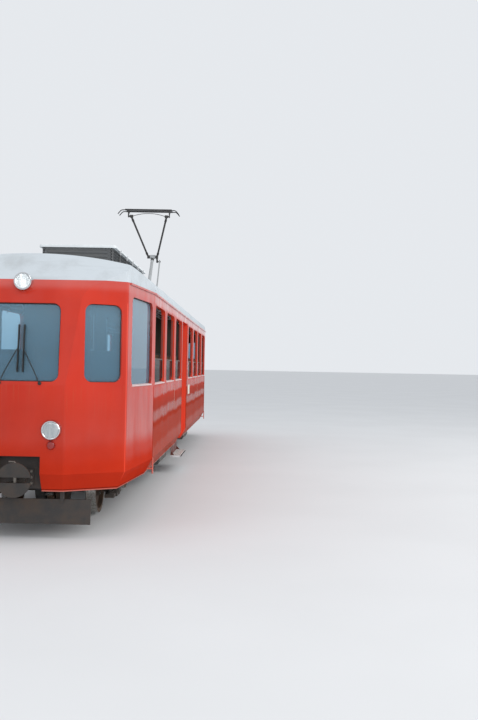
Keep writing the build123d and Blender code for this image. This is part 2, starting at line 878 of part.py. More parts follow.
# Wheelset: axle, two wheels, brake drum and the toothed wheel for the rack
def wheel(sign):
    inner = back_to_back / 2
    outer = inner + wheel_width
    tip = tread_radius + flange_height
    rim = tread_radius - rim_depth
    bore = axle_radius - 5
    start, end = inner + web_start, inner + web_end
    profile = [
        (inner, bore),
        (inner, hub_radius),
        (start, hub_radius + 15),
        (start, rim - 10),
        (inner, rim),
        (inner, tip - 10),
        (inner + flange_width / 3, tip),
        (inner + 0.6 * flange_width, tip),
        (inner + flange_width, tread_radius + 3),
        (outer, tread_radius - 5),
        (outer, rim),
        (end, rim - 10),
        (end, hub_radius + 15),
        (outer, hub_radius),
        (outer, bore),
    ]
    face = make_face(Polyline([(0, sign * y, r) for y, r in profile], close=True))
    return revolve(face, Axis.Y)


tooth_flank = (
    # share of the step between teeth, up (1) or down (-1) from the pitch circle
    (-0.31, -1),
    (-0.13, 1),
    (0.13, 1),
    (0.31, -1),
)


def rack_pinion():
    pitch_radius = tread_radius - rack_line_height
    root = pitch_radius - tooth_height / 2
    step = 2 * pi / rack_teeth
    points = []
    for i in range(rack_teeth):
        for share, way in tooth_flank:
            angle = (i + share) * step - pi / 2
            radius = pitch_radius + way * tooth_height / 2
            points.append((radius * cos(angle), radius * sin(angle)))
    half = pinion_width / 2
    disc = prism_y(points, -half, half)
    for sign in (-1, 1):
        y0, y1 = sign * (half - pinion_recess), sign * half
        disc -= cross_rod(0, 0, y0, y1, root - pinion_rim) - cross_rod(0, 0, y0, y1, hub_radius)
    return disc


def wheelset(x):
    end = frame_offset + box_width / 3 - journal_radius / 10
    seat = frame_offset - box_width / 2 - 0.4 * journal_radius
    pieces = [
        cross_rod(0, 0, -end, end, journal_radius),
        cross_rod(0, 0, -seat, seat, axle_radius),
        wheel(-1),
        wheel(1),
        rack_pinion(),
        cross_rod(0, 0, -drum_inner, -drum_inner - drum_width, drum_radius),
    ]
    return Pos(x, 0, from_axle(0)) * fuse_all(pieces)


# Traction motors with the gear cases that drive the axles
def motor_unit(centre, sign):
    shaft_x, shaft_z = centre + sign * motor_offset, from_axle(motor_rise)
    axle_x, axle_z = centre + sign * wheelbase_half, from_axle(0)
    start, end = gear_case_inner, gear_case_inner + gear_case_width
    far = start - motor_length
    small = 0.75 * gear_case_radius
    motor = cross_rod(shaft_x, shaft_z, start, far, motor_radius)
    motor += cross_rod(shaft_x, shaft_z, far, far - motor_cap, 0.7 * motor_radius)
    case = cross_rod(axle_x, axle_z, start, end, gear_case_radius)
    case += cross_rod(shaft_x, shaft_z, start, end, small)
    web = [
        (axle_x, axle_z - gear_case_radius),
        (axle_x, axle_z + gear_case_radius),
        (shaft_x, shaft_z + 0.95 * small),
        (shaft_x, shaft_z - 0.95 * small),
    ]
    case += prism_y(web, start, end)
    case -= cross_rod(axle_x, axle_z, start - 5, end + 5, axle_radius + running_gap)
    bracket_x = centre + sign * (transom_offset + transom_width)
    middle, half = start - motor_length / 2, nose_bracket_width / 2
    low, high = from_axle(nose_bracket_low), from_axle(nose_bracket_high)
    bracket = block(bracket_x, shaft_x, middle - half, middle + half, low, high)
    return fuse_all([motor, case, bracket])


# Cases and air tanks below the floor
def underfloor_equipment():
    sole_low, low = z_at(underframe_bottom), z_at(case_clearance)
    case_x = case_member + 2 * cross_member_width
    rear_x = -bogie_member
    transformer_end = case_member + cross_member_width
    half = transformer_half_width
    transformer_low, transformer_high = z_at(transformer_clearance), z_at(cross_member_bottom)
    cases = [
        block(door_member, transformer_end, -half, half, transformer_low, transformer_high),
        block(case_x, case_x + case_length, case_inner, case_outer, low, sole_low),
        block(case_x, case_x + case_length, -case_outer, -case_inner, low, sole_low),
        block(rear_x, rear_x + case_length, -case_outer, -case_inner, low, sole_low),
    ]
    solids = [fillet(case.edges().filter_by(Axis.X), case_edge) for case in cases]
    z = sole_low - tank_drop - tank_radius
    start = rear_x + 1.5 * cross_member_width
    for y in tank_places:
        tank = fillet(rod((start, y, z), (start + tank_length, y, z), tank_radius).edges(), tank_radius / 3)
        for share in strap_places:
            x = start + share * tank_length
            half, strap_low = strap_width / 2, z + strap_sink * tank_radius
            tank += block(x - half, x + half, y - half, y + half, strap_low, z_at(floor_underside))
        solids.append(tank)
    return group(solids)


# Partitions between cabs and saloons, and screens beside the vestibule
def partitions():
    floor_z, high = z_at(floor_height), z_at(roof_crown)
    x0 = saloon_half_length + partition_offset
    x1 = x0 + partition_thickness
    cab_wall = cab_solid(wall_thickness) & block(x0, x1, -beyond, beyond, floor_z, high)
    hole = Rot(0, 0, 90) * rounded_cut(partition_hole_width, window_height, window_corner, wall_thickness)
    for y in (partition_hole_inner, -partition_hole_inner - partition_hole_width):
        cab_wall -= Pos((x0 + x1) / 2, y, z_at(sill_height)) * hole
    walls = [both_ends(cab_wall)]
    gap = screen_door_half
    for x in (surround_rear - screen_thickness, surround_front):
        x1 = x + screen_thickness
        screen = body_tube(wall_thickness, x, x1) & block(x, x1, -beyond, beyond, floor_z, high)
        walls.append(screen - block(x - 1, x1 + 1, -gap, gap, floor_z - 1, z_at(shoulder_height)))
    return group(walls)


# Benches back to back at the window pillars
def bench_places():
    """Middle of each back, and the ways its seats face"""
    end = saloon_half_length - bench_wall_gap
    stand = screen_thickness + bench_back_thickness
    places = [(-end, (1,)), (surround_rear - stand, (-1,)), (surround_front + stand, (1,)), (end, (-1,))]
    for first, count in ((rear_first_window, rear_windows), (front_first_window, front_windows)):
        places += [(first + i * window_pitch - window_gap / 2, (-1, 1)) for i in range(1, count)]
    return places


def bench_back(x, ways):
    """Side view of a back that leans towards each seat, with a bulge at the sitter's loins"""
    half, foot = bench_back_thickness / 2, bench_back_foot
    low, high = z_at(floor_height + bench_seat_height), z_at(floor_height + bench_back_height)
    middle = (low + high) / 2
    edges = [Line((x - half, 0, high), (x + half, 0, high))]
    feet = []
    for way in (-1, 1):
        top = (x + way * half, 0, high)
        if way in ways:
            base = (x + way * foot, 0, low)
            bulge = (x + way * ((half + foot) / 2 + bench_back_bulge), 0, middle)
            edges.append(ThreePointArc(top, bulge, base))
        else:
            base = (x + way * half, 0, low)
            edges.append(Line(top, base))
        feet.append(base)
    edges.append(Line(*feet))
    return make_face(edges)


def bench_seat(x, ways):
    """Side view of a dished seat with a rolled front edge, for one or two ways of sitting"""
    half, foot, depth = bench_back_thickness / 2, bench_back_foot, bench_seat_depth
    high = z_at(floor_height + bench_seat_height)
    low = high - bench_slab
    edges = []
    ends = []
    for way in (-1, 1):
        if way in ways:
            crown = (x + way * foot, 0, high)
            dish = (x + way * (foot + depth) / 2, 0, high - bench_dish)
            front = (x + way * (depth - bench_roll), 0, high)
            nose = (x + way * depth, 0, high - bench_roll)
            under = (x + way * (depth - bench_roll), 0, low)
            edges += [ThreePointArc(crown, dish, front), ThreePointArc(front, nose, under)]
        else:
            crown, under = (x + way * half, 0, high), (x + way * half, 0, low)
            edges.append(Line(crown, under))
        ends.append((crown, under))
    edges += [Line(ends[0][0], ends[1][0]), Line(ends[0][1], ends[1][1])]
    return make_face(edges)


def bench_legs(x, ways):
    """Trestle plates below a seat"""
    reach = [way * bench_seat_depth for way in ways] + [0.0]
    middle = x + (min(reach) + max(reach)) / 2
    floor_z, top = z_at(floor_height), z_at(floor_height + bench_seat_height) - bench_slab
    plate = [
        (middle - bench_leg_foot / 2, floor_z),
        (middle + bench_leg_foot / 2, floor_z),
        (middle + bench_leg_top / 2, top),
        (middle - bench_leg_top / 2, top),
    ]
    places = (bench_inner + bench_leg_set_in, bench_outer - bench_leg_set_in - bench_leg)
    return [prism_y(plate, y, y + bench_leg) for y in places]


def across_bench(face):
    return Pos(0, bench_inner, 0) * extrude(face, bench_outer - bench_inner, dir=(0, 1, 0))


def bench_backs():
    return both_sides(group([across_bench(bench_back(x, ways)) for x, ways in bench_places()]))


def bench_seats():
    seats = []
    for x, ways in bench_places():
        seats.append(fuse_all([across_bench(bench_seat(x, ways)), *bench_legs(x, ways)]))
    return both_sides(group(seats))


# Driver's desk and seat in each cab
def driver_place():
    floor_z = z_at(floor_height)
    face_x = nose_x - desk_set_back
    back_x = face_x - desk_depth
    top = floor_z + desk_height
    outline = [
        ((face_x + back_x) / 2, floor_z),
        (face_x, floor_z),
        (face_x, top),
        (back_x, top - desk_depth / 5),
        (back_x, top - desk_depth / 3),
        ((face_x + back_x) / 2, top - desk_depth / 2),
    ]
    desk = prism_y(outline, -desk_half_width, desk_half_width)
    x, half = saloon_half_length + driver_set_in, driver_half
    seat_z = floor_z + driver_seat_height
    post = rod((x, 0, floor_z), (x, 0, seat_z), driver_post_radius)
    cushion = block(x - half, x + half, -half, half, seat_z, seat_z + driver_cushion)
    back_high = floor_z + driver_back_height
    back_x = x - half - driver_cushion / 2
    back = block(back_x, back_x + driver_cushion, -half, half, seat_z, back_high)
    return both_ends(group([desk, fuse_all([post, cushion, back])]))


# Headlamps: two low on the nose and one over the windscreen
def headlamps():
    lamps = []
    z = z_at(sill_height - lamp_below_sill)
    for y in (-lamp_offset, lamp_offset):
        lamp = rod((nose_x, y, z), (nose_x + lamp_depth, y, z), lamp_radius)
        lamps.append(fillet(lamp.faces().sort_by(Axis.X)[-1].edges(), 0.4 * lamp_depth))
    z = z_at(window_top + top_lamp_above_window)
    front = nose_x - top_lamp_front
    lamps.append(rod((front - top_lamp_length, 0, z), (front, 0, z), top_lamp_radius) - cab_solid(0))
    return both_ends(group(lamps))


# Folding doors on the +Y side: two leaves, a pivot on the rear jamb and knuckles between them
pivot_x = door_rear + leaf_gap + pivot_inset
roller_x = door_front - leaf_gap - pivot_inset
knuckle_x = (pivot_x + roller_x) / 2
leaf_low = z_at(floor_height) + leaf_gap
leaf_high = z_at(door_head) - leaf_gap


def door_leaf(first):
    if first:
        x0, x1 = pivot_x - pivot_inset, knuckle_x - meeting_gap / 2
    else:
        x0, x1 = knuckle_x + meeting_gap / 2, roller_x + pivot_inset
    inner, outer = door_plane - leaf_thickness, door_plane
    middle = (inner + outer) / 2
    leaf = fillet(block(x0, x1, inner, outer, leaf_low, leaf_high).edges().filter_by(Axis.Z), leaf_corner)
    width = x1 - x0 - 2 * leaf_window_margin
    sill, top = floor_height + leaf_window_above_floor, door_head - leaf_window_below_head
    leaf -= Pos(0, outer, 0) * window_hole(x0 + leaf_window_margin, sill, width, top)
    pane_face = middle + pane_thickness / 2 + pane_inset
    pane = window_pane(x0 + leaf_window_margin, sill, width, top + pane_seat, pane_face)
    leaf -= pane
    leaf = fuse_all([leaf, *door_pins(first, middle), *door_hinges(first, outer)])
    return leaf, pane


def door_pins(first, y):
    """Pins above and below the first leaf, and the roller pin above the second one"""
    x = pivot_x if first else roller_x
    top_pin = rod((x, y, leaf_high), (x, y, z_at(door_head) - pin_gap), pivot_pin_radius)
    if not first:
        return [top_pin]
    return [top_pin, rod((x, y, z_at(floor_height) + pin_gap), (x, y, leaf_low), pivot_pin_radius)]


def door_hinges(first, outer):
    """Knuckles on the outer face, with the first leaf's above the second leaf's"""
    y = outer + hinge_radius
    away = -1 if first else 1
    pieces = []
    for share in hinge_places:
        z = leaf_low + share * (leaf_high - leaf_low)
        z0, z1 = (z + pin_gap, z + hinge_length) if first else (z - hinge_length, z - pin_gap)
        pieces.append(rod((knuckle_x, y, z0), (knuckle_x, y, z1), hinge_radius))
        plate_end = knuckle_x + away * hinge_plate_width
        pieces.append(block(knuckle_x, plate_end, outer, outer + hinge_plate, z0, z1))
    return pieces


# Steps below the doorways and upright rails on the jambs
def step_tread():
    """A tread hung from the step well by a riser along its inner edge, with gussets at its ends"""
    z = z_at(step_height)
    outer, inner = body_half_width, body_half_width - step_depth
    low, high = z - step_thickness, z_at(well_step_height) - well_plate
    pieces = [
        block(door_rear, door_front, inner, outer, low, z),
        block(door_rear, door_front, inner - step_riser, inner, low, high),
    ]
    gusset = [(inner, z), (inner + step_gusset, z), (inner, z + step_gusset)]
    for x in (door_rear, door_front - step_riser):
        pieces.append(prism_x(gusset, x, x + step_riser))
    return fuse_all(pieces)


def door_rails():
    y = body_half_width - rail_inset
    low = z_at(floor_height + rail_above_floor)
    high = low + rail_length
    rails = []
    for x, toward in ((door_rear, 1), (door_front, -1)):
        out = x + toward * rail_stand
        path = FilletPolyline([(x, y, low), (out, y, low), (out, y, high), (x, y, high)], radius=rail_bend)
        profile = Plane(origin=(x, y, low), z_dir=(toward, 0, 0)) * Circle(rail_radius)
        rails.append(sweep(profile, path=path))
    return group(rails)


# Pantograph
def point_from(start, angle, length):
    return (start[0] + length * cos(radians(angle)), start[1] + length * sin(radians(angle)))


pan_base = (pan_base_x, z_at(pan_base_height))
pan_knuckle = point_from(pan_base, lower_arm_angle, lower_arm_length)
pan_top = point_from(pan_knuckle, 180.0 - upper_arm_angle, upper_arm_length)
pan_tail = point_from(pan_knuckle, -upper_arm_angle, arm_tail)
rod_base = (pan_base[0] + rod_base_forward, pan_base[1] - rod_base_drop)
pan_frame_top = pan_base[1] - pan_frame_drop
pan_frame_low = pan_frame_top - pan_frame_depth
pan_hole = pan_pin_radius + running_gap
rod_half = 0.7 * coupling_rod_radius
rod_ear_inner = rod_half + ear_gap
rod_ear_outer = rod_ear_inner + ear_thickness
arm_ear_outer = knuckle_half_width + ear_thickness


def pantograph_base():
    x0, x1 = pan_base_x - pan_frame_rear, pan_base_x + pan_frame_front
    half, width = pan_frame_half_width, pan_frame_width
    low, high = pan_frame_low, pan_frame_top
    pieces = [block(x0, x1, y, y + width, low, high) for y in (-half, half - width)]
    for x in (x0, pan_base_x - pan_rail_set_back, x1 - width):
        pieces.append(block(x, x + width, -half, half, low, high))
    for x in (pan_base[0], rod_base[0]):
        pieces.append(block(x - ear_half, x + ear_half, -half, half, low, low + pan_rail_thickness))
    for side in (-1, 1):
        y0, y1 = side * knuckle_half_width, side * arm_ear_outer
        ear_top = pan_base[1] + 0.75 * ear_half
        ear = block(pan_base[0] - ear_half, pan_base[0] + ear_half, y0, y1, low, ear_top)
        pieces.append(fillet(ear.edges().filter_by(Axis.Y).sort_by(Axis.Z)[-2:], 0.65 * ear_half))
        y0, y1 = -rod_side + side * rod_ear_inner, -rod_side + side * rod_ear_outer
        ear_top = rod_base[1] + 0.6 * ear_half
        ear = block(rod_base[0] - ear_half, rod_base[0] + ear_half, y0, y1, low, ear_top)
        pieces.append(fillet(ear.edges().filter_by(Axis.Y).sort_by(Axis.Z)[-2:], 0.5 * ear_half))
    frame = fuse_all(pieces)
    frame -= cross_rod(*rod_base, -rod_side - 2 * rod_ear_outer, -rod_side + 2 * rod_ear_outer, pan_hole)
    return frame - cross_rod(*pan_base, -2 * arm_ear_outer, 2 * arm_ear_outer, pan_hole)


def pantograph_insulators():
    """Ribbed posts between the roof and the base frame"""
    roof_z = z_at(roof_crown)
    height = pan_frame_low - roof_z
    inset = pan_frame_width / 2
    x0, x1 = pan_base_x - pan_frame_rear + inset, pan_base_x + pan_frame_front - inset
    y1 = pan_frame_half_width - inset
    roof = body_tube(0, x0 - height, x1 + height)
    posts = []
    for x, y in ((x0, -y1), (x0, y1), (x1, -y1), (x1, y1)):
        post = rod((x, y, roof_z - height), (x, y, pan_frame_low), 0.6 * insulator_radius)
        for share in insulator_ribs:
            z = roof_z + share * height
            post += rod((x, y, z), (x, y, z + 0.16 * height), insulator_radius)
        posts.append(post - roof)
    return group(posts)


def pantograph_lower_arm():
    foot_half = knuckle_half_width - ear_gap
    pin_end = arm_ear_outer + ear_gap
    bore = cross_rod(*pan_knuckle, -2 * knuckle_head_half, 2 * knuckle_head_half, pan_hole)
    foot, knuckle = Vector(pan_base[0], 0, pan_base[1]), Vector(pan_knuckle[0], 0, pan_knuckle[1])
    low_end = (Align.CENTER, Align.CENTER, Align.MIN)
    taper = Cone(lower_arm_foot_radius, lower_arm_radius, lower_arm_length, align=low_end)
    pieces = [
        Plane(origin=foot, z_dir=knuckle - foot) * taper,
        cross_rod(*pan_base, -foot_half, foot_half, knuckle_boss),
        cross_rod(*pan_base, -pin_end, pin_end, pan_pin_radius),
        cross_rod(*pan_knuckle, -knuckle_head_half, knuckle_head_half, knuckle_boss),
    ]
    return fuse_all(pieces) - bore


def pantograph_rod():
    y = -rod_side
    pin_half = rod_ear_outer + ear_gap
    pieces = [
        rod((rod_base[0], y, rod_base[1]), (pan_tail[0], y, pan_tail[1]), coupling_rod_radius),
        cross_rod(*rod_base, y - rod_half, y + rod_half, 2 * pan_pin_radius),
        cross_rod(*rod_base, y - pin_half, y + pin_half, pan_pin_radius),
        cross_rod(*pan_tail, y - rod_half, y + rod_half, eye_radius),
    ]
    return fuse_all(pieces) - cross_rod(*pan_tail, y - pin_half, y + pin_half, eye_bore)


def pantograph_upper_frame():
    k, t, e = pan_knuckle, pan_top, pan_tail
    inner, outer = knuckle_head_half + 2 * ear_gap, knuckle_half_width + crank_radius
    pieces = []
    top_outer = head_half_width + 1.5 * upper_tube_radius
    top_inner = head_half_width - 2 * upper_tube_radius
    for sign in (-1, 1):
        low, high = (k[0], sign * knuckle_half_width, k[1]), (t[0], sign * head_half_width, t[1])
        pieces.append(rod(low, high, upper_tube_radius))
        pieces.append(cross_rod(*k, sign * inner, sign * outer, knuckle_radius))
        pieces.append(cross_rod(*t, sign * top_inner, sign * top_outer, top_boss_radius))
    crank_y = -(inner + outer) / 2
    pieces += [
        cross_rod(*k, -inner, inner, pan_pin_radius),
        rod((k[0], crank_y, k[1]), (e[0], crank_y, e[1]), crank_radius),
        cross_rod(*e, crank_y - crank_radius, crank_y + crank_radius, 1.2 * crank_radius),
        cross_rod(*e, -rod_side - 1.5 * rod_ear_inner, crank_y, crank_pin_radius),
    ]
    return fuse_all([*pieces, pantograph_stay()])


def pantograph_stay():
    """A thin bowed rod that ties the tops of the tubes together, below the head"""
    x, z = pan_top
    y = head_half_width - 2 * upper_tube_radius + stay_sink
    path = ThreePointArc((x, -y, z), (x, 0, z + stay_rise), (x, y, z))
    return sweep(Plane(origin=path @ 0, z_dir=path % 0) * Circle(stay_radius), path=path)


def pantograph_head():
    t = pan_top
    top = t[1] + head_rise
    strip_low = top - strip_thickness
    horn_z = strip_low + horn_radius + 1
    half = strip_width / 2
    pieces = []
    for sign in (-1, 1):
        x = t[0] + sign * strip_spacing / 2
        pieces.append(block(x - half, x + half, -strip_half_length, strip_half_length, strip_low, top))
        for side in (-1, 1):
            start = (x, side * (strip_half_length - half), horn_z)
            corner = (x, side * (strip_half_length + horn_bend), horn_z)
            tip = (x, side * horn_half_length, horn_z - horn_drop)
            path = FilletPolyline([start, corner, tip], radius=horn_bend)
            profile = Plane(origin=start, z_dir=(0, side, 0)) * Circle(horn_radius)
            pieces.append(sweep(profile, path=path))
    bar_half = (strip_spacing + half) / 2
    cheek_half = cheek_half_length
    for y in (-head_half_width - cheek_offset, head_half_width + cheek_offset):
        y0, y1 = y - cheek_thickness / 2, y + cheek_thickness / 2
        carrier_low = strip_low - carrier_depth
        pieces.append(block(t[0] - bar_half, t[0] + bar_half, y0, y1, carrier_low, strip_low))
        pieces.append(block(t[0] - cheek_half, t[0] + cheek_half, y0, y1, t[1] - cheek_half, carrier_low))
    head = fuse_all(pieces)
    pin_end = head_half_width + cheek_offset
    for side in (-1, 1):
        start = side * (head_half_width + 1.5 * upper_tube_radius + running_gap)
        head += cross_rod(*t, start, side * pin_end, 0.8 * upper_tube_radius)
    return head


def main():
    os.makedirs("parts", exist_ok=True)
    save(floor_slab(), "floor")
    save(sole_bars(), "sole_bars")
    save(cross_members(), "cross_members")
    panes = []
    for place, run in window_runs.items():
        wall, run_panes = side_wall(*run)
        save(wall, f"side_wall_left_{place}")
        save(mirror(wall, about=Plane.XZ), f"side_wall_right_{place}")
        panes += [both_sides(pane) for pane in run_panes]
    surround = door_surround()
    save(surround, "door_surround_left")
    save(mirror(surround, about=Plane.XZ), "door_surround_right")
    shell, cab_panes = cab_shell()
    save(shell, "cab_shell_front")
    save(mirror(shell, about=Plane.YZ), "cab_shell_rear")
    save(group([*panes, both_ends(group(cab_panes))]), "window_panes")
    save(roof_shell(), "roof_shell")
    save(roof_box(), "roof_box")
    save(roof_box_lid(), "roof_box_lid")
    save(partitions(), "partitions")
    save(bench_seats(), "bench_seats")
    save(bench_backs(), "bench_backs")
    save(driver_place(), "driver_places")
    save(headlamps(), "headlamps")
    save(both_ends(coupler()), "couplers")
    save(both_ends(rail_guard()), "rail_guards")
    save(both_sides(step_tread()), "step_treads")
    save(both_sides(door_rails()), "door_rails")
    save(underfloor_equipment(), "underfloor_equipment")
    for end, centre in (("front", bogie_centre), ("rear", -bogie_centre)):
        save(bogie_frame(centre), f"bogie_frame_{end}")
        save(group([motor_unit(centre, sign) for sign in (-1, 1)]), f"motors_{end}")
    axles = [end * bogie_centre + way * wheelbase_half for end in (1, -1) for way in (1, -1)]
    for number, x in enumerate(axles, 1):
        save(wheelset(x), f"wheelset_{number}")
    for number, first in ((1, True), (2, False)):
        leaf, pane = door_leaf(first)
        save(leaf, f"door_left_{number}")
        save(pane, f"door_left_{number}_pane")
        save(mirror(leaf, about=Plane.XZ), f"door_right_{number}")
        save(mirror(pane, about=Plane.XZ), f"door_right_{number}_pane")
    save(pantograph_base(), "pantograph_base")
    save(pantograph_insulators(), "pantograph_insulators")
    save(pantograph_lower_arm(), "pantograph_lower_arm")
    save(pantograph_rod(), "pantograph_rod")
    save(pantograph_upper_frame(), "pantograph_upper_frame")
    save(pantograph_head(), "pantograph_head")


main()
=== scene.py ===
import json
import math
from functools import partialmethod
from itertools import product

import bmesh
import bpy
from mathutils import Matrix, Vector


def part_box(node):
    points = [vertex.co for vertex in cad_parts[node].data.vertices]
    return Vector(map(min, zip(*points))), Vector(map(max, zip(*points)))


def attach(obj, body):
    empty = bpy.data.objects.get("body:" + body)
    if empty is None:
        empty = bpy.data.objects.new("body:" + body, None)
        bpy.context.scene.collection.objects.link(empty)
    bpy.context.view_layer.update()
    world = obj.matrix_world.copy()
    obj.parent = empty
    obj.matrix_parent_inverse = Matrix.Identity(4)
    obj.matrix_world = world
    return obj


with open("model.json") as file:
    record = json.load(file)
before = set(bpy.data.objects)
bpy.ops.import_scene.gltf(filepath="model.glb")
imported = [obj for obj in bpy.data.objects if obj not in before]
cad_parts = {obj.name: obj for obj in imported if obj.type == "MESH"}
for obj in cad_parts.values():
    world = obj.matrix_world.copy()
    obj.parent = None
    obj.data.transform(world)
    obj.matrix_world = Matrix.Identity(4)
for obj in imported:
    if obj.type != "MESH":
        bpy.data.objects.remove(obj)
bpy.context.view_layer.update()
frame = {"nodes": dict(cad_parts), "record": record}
nodes = frame["nodes"]
JOINT = {joint["name"]: joint["pos_m"] for joint in frame["record"]["behaviour"]["joints"]}


# Sizes taken from the frame, in metres
def low(node):
    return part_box(node)[0]


def high(node):
    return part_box(node)[1]


# Heights
RAIL_TOP = 0.028
AXLE_Z = JOINT["axle_1_roll"][2]
SKIRT_Z = low("side_wall_left_front").z
CREASE_Z = SKIRT_Z + 0.200
FLOOR_Z = high("floor").z
SILL_Z = FLOOR_Z + 0.710
WINDOW_TOP_Z = SILL_Z + 1.020
GUTTER_Z = high("side_wall_left_front").z
ROOF_Z = high("roof_shell").z
STEP_Z = low("step_treads").z + 0.030
UNDERFRAME_Z = low("sole_bars").z
LAMP_Z = SILL_Z - 0.480
TOP_LAMP_Z = WINDOW_TOP_Z + 0.110
COUPLER_Z = UNDERFRAME_Z - 0.040

# Widths
SIDE_Y = high("side_wall_left_front").y
SKIRT_Y = SIDE_Y - 0.110
SKIRT_SLOPE = 0.55
WALL = 0.055
JAMB = 0.048
STEP_IN, STEP_OUT = SIDE_Y - 0.170, SIDE_Y
STEP_RIBS = 8
DOOR_Y = SIDE_Y - 0.260
DOOR_THICKNESS = 0.038
NOSE_HALF = 0.500
LAMP_Y = 0.360
FRAME_Y = 0.750
HALF_BACK = 0.465
SHOULDER = 0.210
ROOF_RISE = 0.335

# Places along the car
SALOON_X = high("roof_shell").x
CAB_JOINT = SALOON_X - 0.012
NOSE_X = high("cab_shell_front").x
DOOR_REAR, DOOR_FRONT = low("step_treads").x, high("step_treads").x
SURROUND_REAR, SURROUND_FRONT = DOOR_REAR - 0.075, DOOR_FRONT + 0.150
WINDOW_PITCH, WINDOW_W = 1.450, 1.170
FIRST_REAR, FIRST_FRONT = -SALOON_X + 0.080, DOOR_FRONT + 0.300
PIVOT_X, ROLLER_X = DOOR_REAR + 0.042, DOOR_FRONT - 0.042
KNUCKLE_X = (PIVOT_X + ROLLER_X) / 2
AXLES = [JOINT[f"axle_{number}_roll"][0] for number in (1, 2, 3, 4)]
AXLE_OFFSET = (AXLES[0] - AXLES[1]) / 2
TREAD = AXLE_Z - RAIL_TOP
MOTOR_OFFSET = 0.440
HEADSTOCK_FRONT = high("cross_members").x
COUPLER_X = high("couplers").x
ROOF_BOX_REAR, ROOF_BOX_FRONT = low("roof_box").x, high("roof_box").x

# Cab: how its side tapers and its nose leans, its corners, and the plane of the face between them
CAB_TAPER, NOSE_LEAN = 0.10, 0.089
CAB_CORNER = Vector((SALOON_X + 1.390, SIDE_Y - 1.390 * CAB_TAPER))
NOSE_CORNER = Vector((NOSE_X, NOSE_HALF))
CORNER_WAY = (NOSE_CORNER - CAB_CORNER).normalized()
CORNER_OUT = Vector((-CORNER_WAY.y, CORNER_WAY.x))
CORNER_REACH = CORNER_OUT.dot(CAB_CORNER)

# Door leaves
LEAF_LOW, LEAF_HIGH = FLOOR_Z + 0.012, WINDOW_TOP_Z + 0.008
LEAF_MARGIN = 0.095
LEAF_SILL, LEAF_TOP = FLOOR_Z + 0.610, WINDOW_TOP_Z - 0.120

# Pantograph
PAN_X, _, PAN_BASE_Z = JOINT["lower_arm_lift"]
ARM_FOOT = Vector((PAN_X, 0, PAN_BASE_Z))
KNUCKLE = Vector((JOINT["upper_frame_swing"][0], 0, JOINT["upper_frame_swing"][2]))
PAN_TOP = Vector((JOINT["pan_head_level"][0], 0, JOINT["pan_head_level"][2]))
PAN_TOP_HALF, KNUCKLE_HALF = 0.420, 0.110
ARM_FOOT_RADIUS, ARM_RADIUS, UPPER_TUBE_RADIUS = 0.044, 0.034, 0.022
PAN_FRAME_REAR, PAN_FRAME_FRONT = low("pantograph_base").x, high("pantograph_base").x

# Cases below the floor: rear end and side
CASE_LENGTH, CASE_OUT = 1.150, 1.030
CASE_LOW, CASE_HIGH = RAIL_TOP + 0.300, UNDERFRAME_Z
CASES = ((1.680, 1), (1.680, -1), (-3.000, -1))

# Benches: middle of the back, and the ways the seats face
BENCH_END = SALOON_X - 0.060
BENCHES = [
    (-BENCH_END, (1,)),
    (SURROUND_REAR - 0.061, (-1,)),
    (SURROUND_FRONT + 0.061, (1,)),
    (BENCH_END, (-1,)),
]
for first, gaps in ((FIRST_REAR, 2), (FIRST_FRONT, 3)):
    BENCHES += [(first + i * WINDOW_PITCH - 0.140, (-1, 1)) for i in range(1, gaps + 1)]

# Photograph: height and focal length in pixels, the point where the car's X axis vanishes, roll and eye
IMAGE_H = 720
FOCAL = 834.0
VANISH = (13.0, -7.0)
ROLL = math.radians(1.06)
EYE = Vector((-16.42, -2.51, RAIL_TOP + 1.90))


# Camera
def camera():
    data = bpy.data.cameras.new("camera")
    data.sensor_fit = "VERTICAL"
    data.sensor_height = 36.0
    data.lens = FOCAL / IMAGE_H * data.sensor_height
    data.clip_end = 500.0
    along = Vector((*VANISH, -FOCAL)).normalized()
    up = Vector((math.sin(ROLL), math.cos(ROLL), 0.0))
    up = (up - up.dot(along) * along).normalized()
    rotation = Matrix((along, up.cross(along), up))
    obj = bpy.data.objects.new("camera", data)
    bpy.context.scene.collection.objects.link(obj)
    obj.matrix_world = Matrix.Translation(EYE) @ rotation.to_4x4()
    bpy.context.scene.camera = obj


camera()
bpy.context.scene.view_settings.view_transform = "Standard"


# Materials
SOCKETS = {
    "color": "Base Color",
    "metal": "Metallic",
    "rough": "Roughness",
    "coat": "Coat Weight",
    "coat_rough": "Coat Roughness",
    "specular": "Specular IOR Level",
    "transmission": "Transmission Weight",
    "ior": "IOR",
    "normal": "Normal",
}


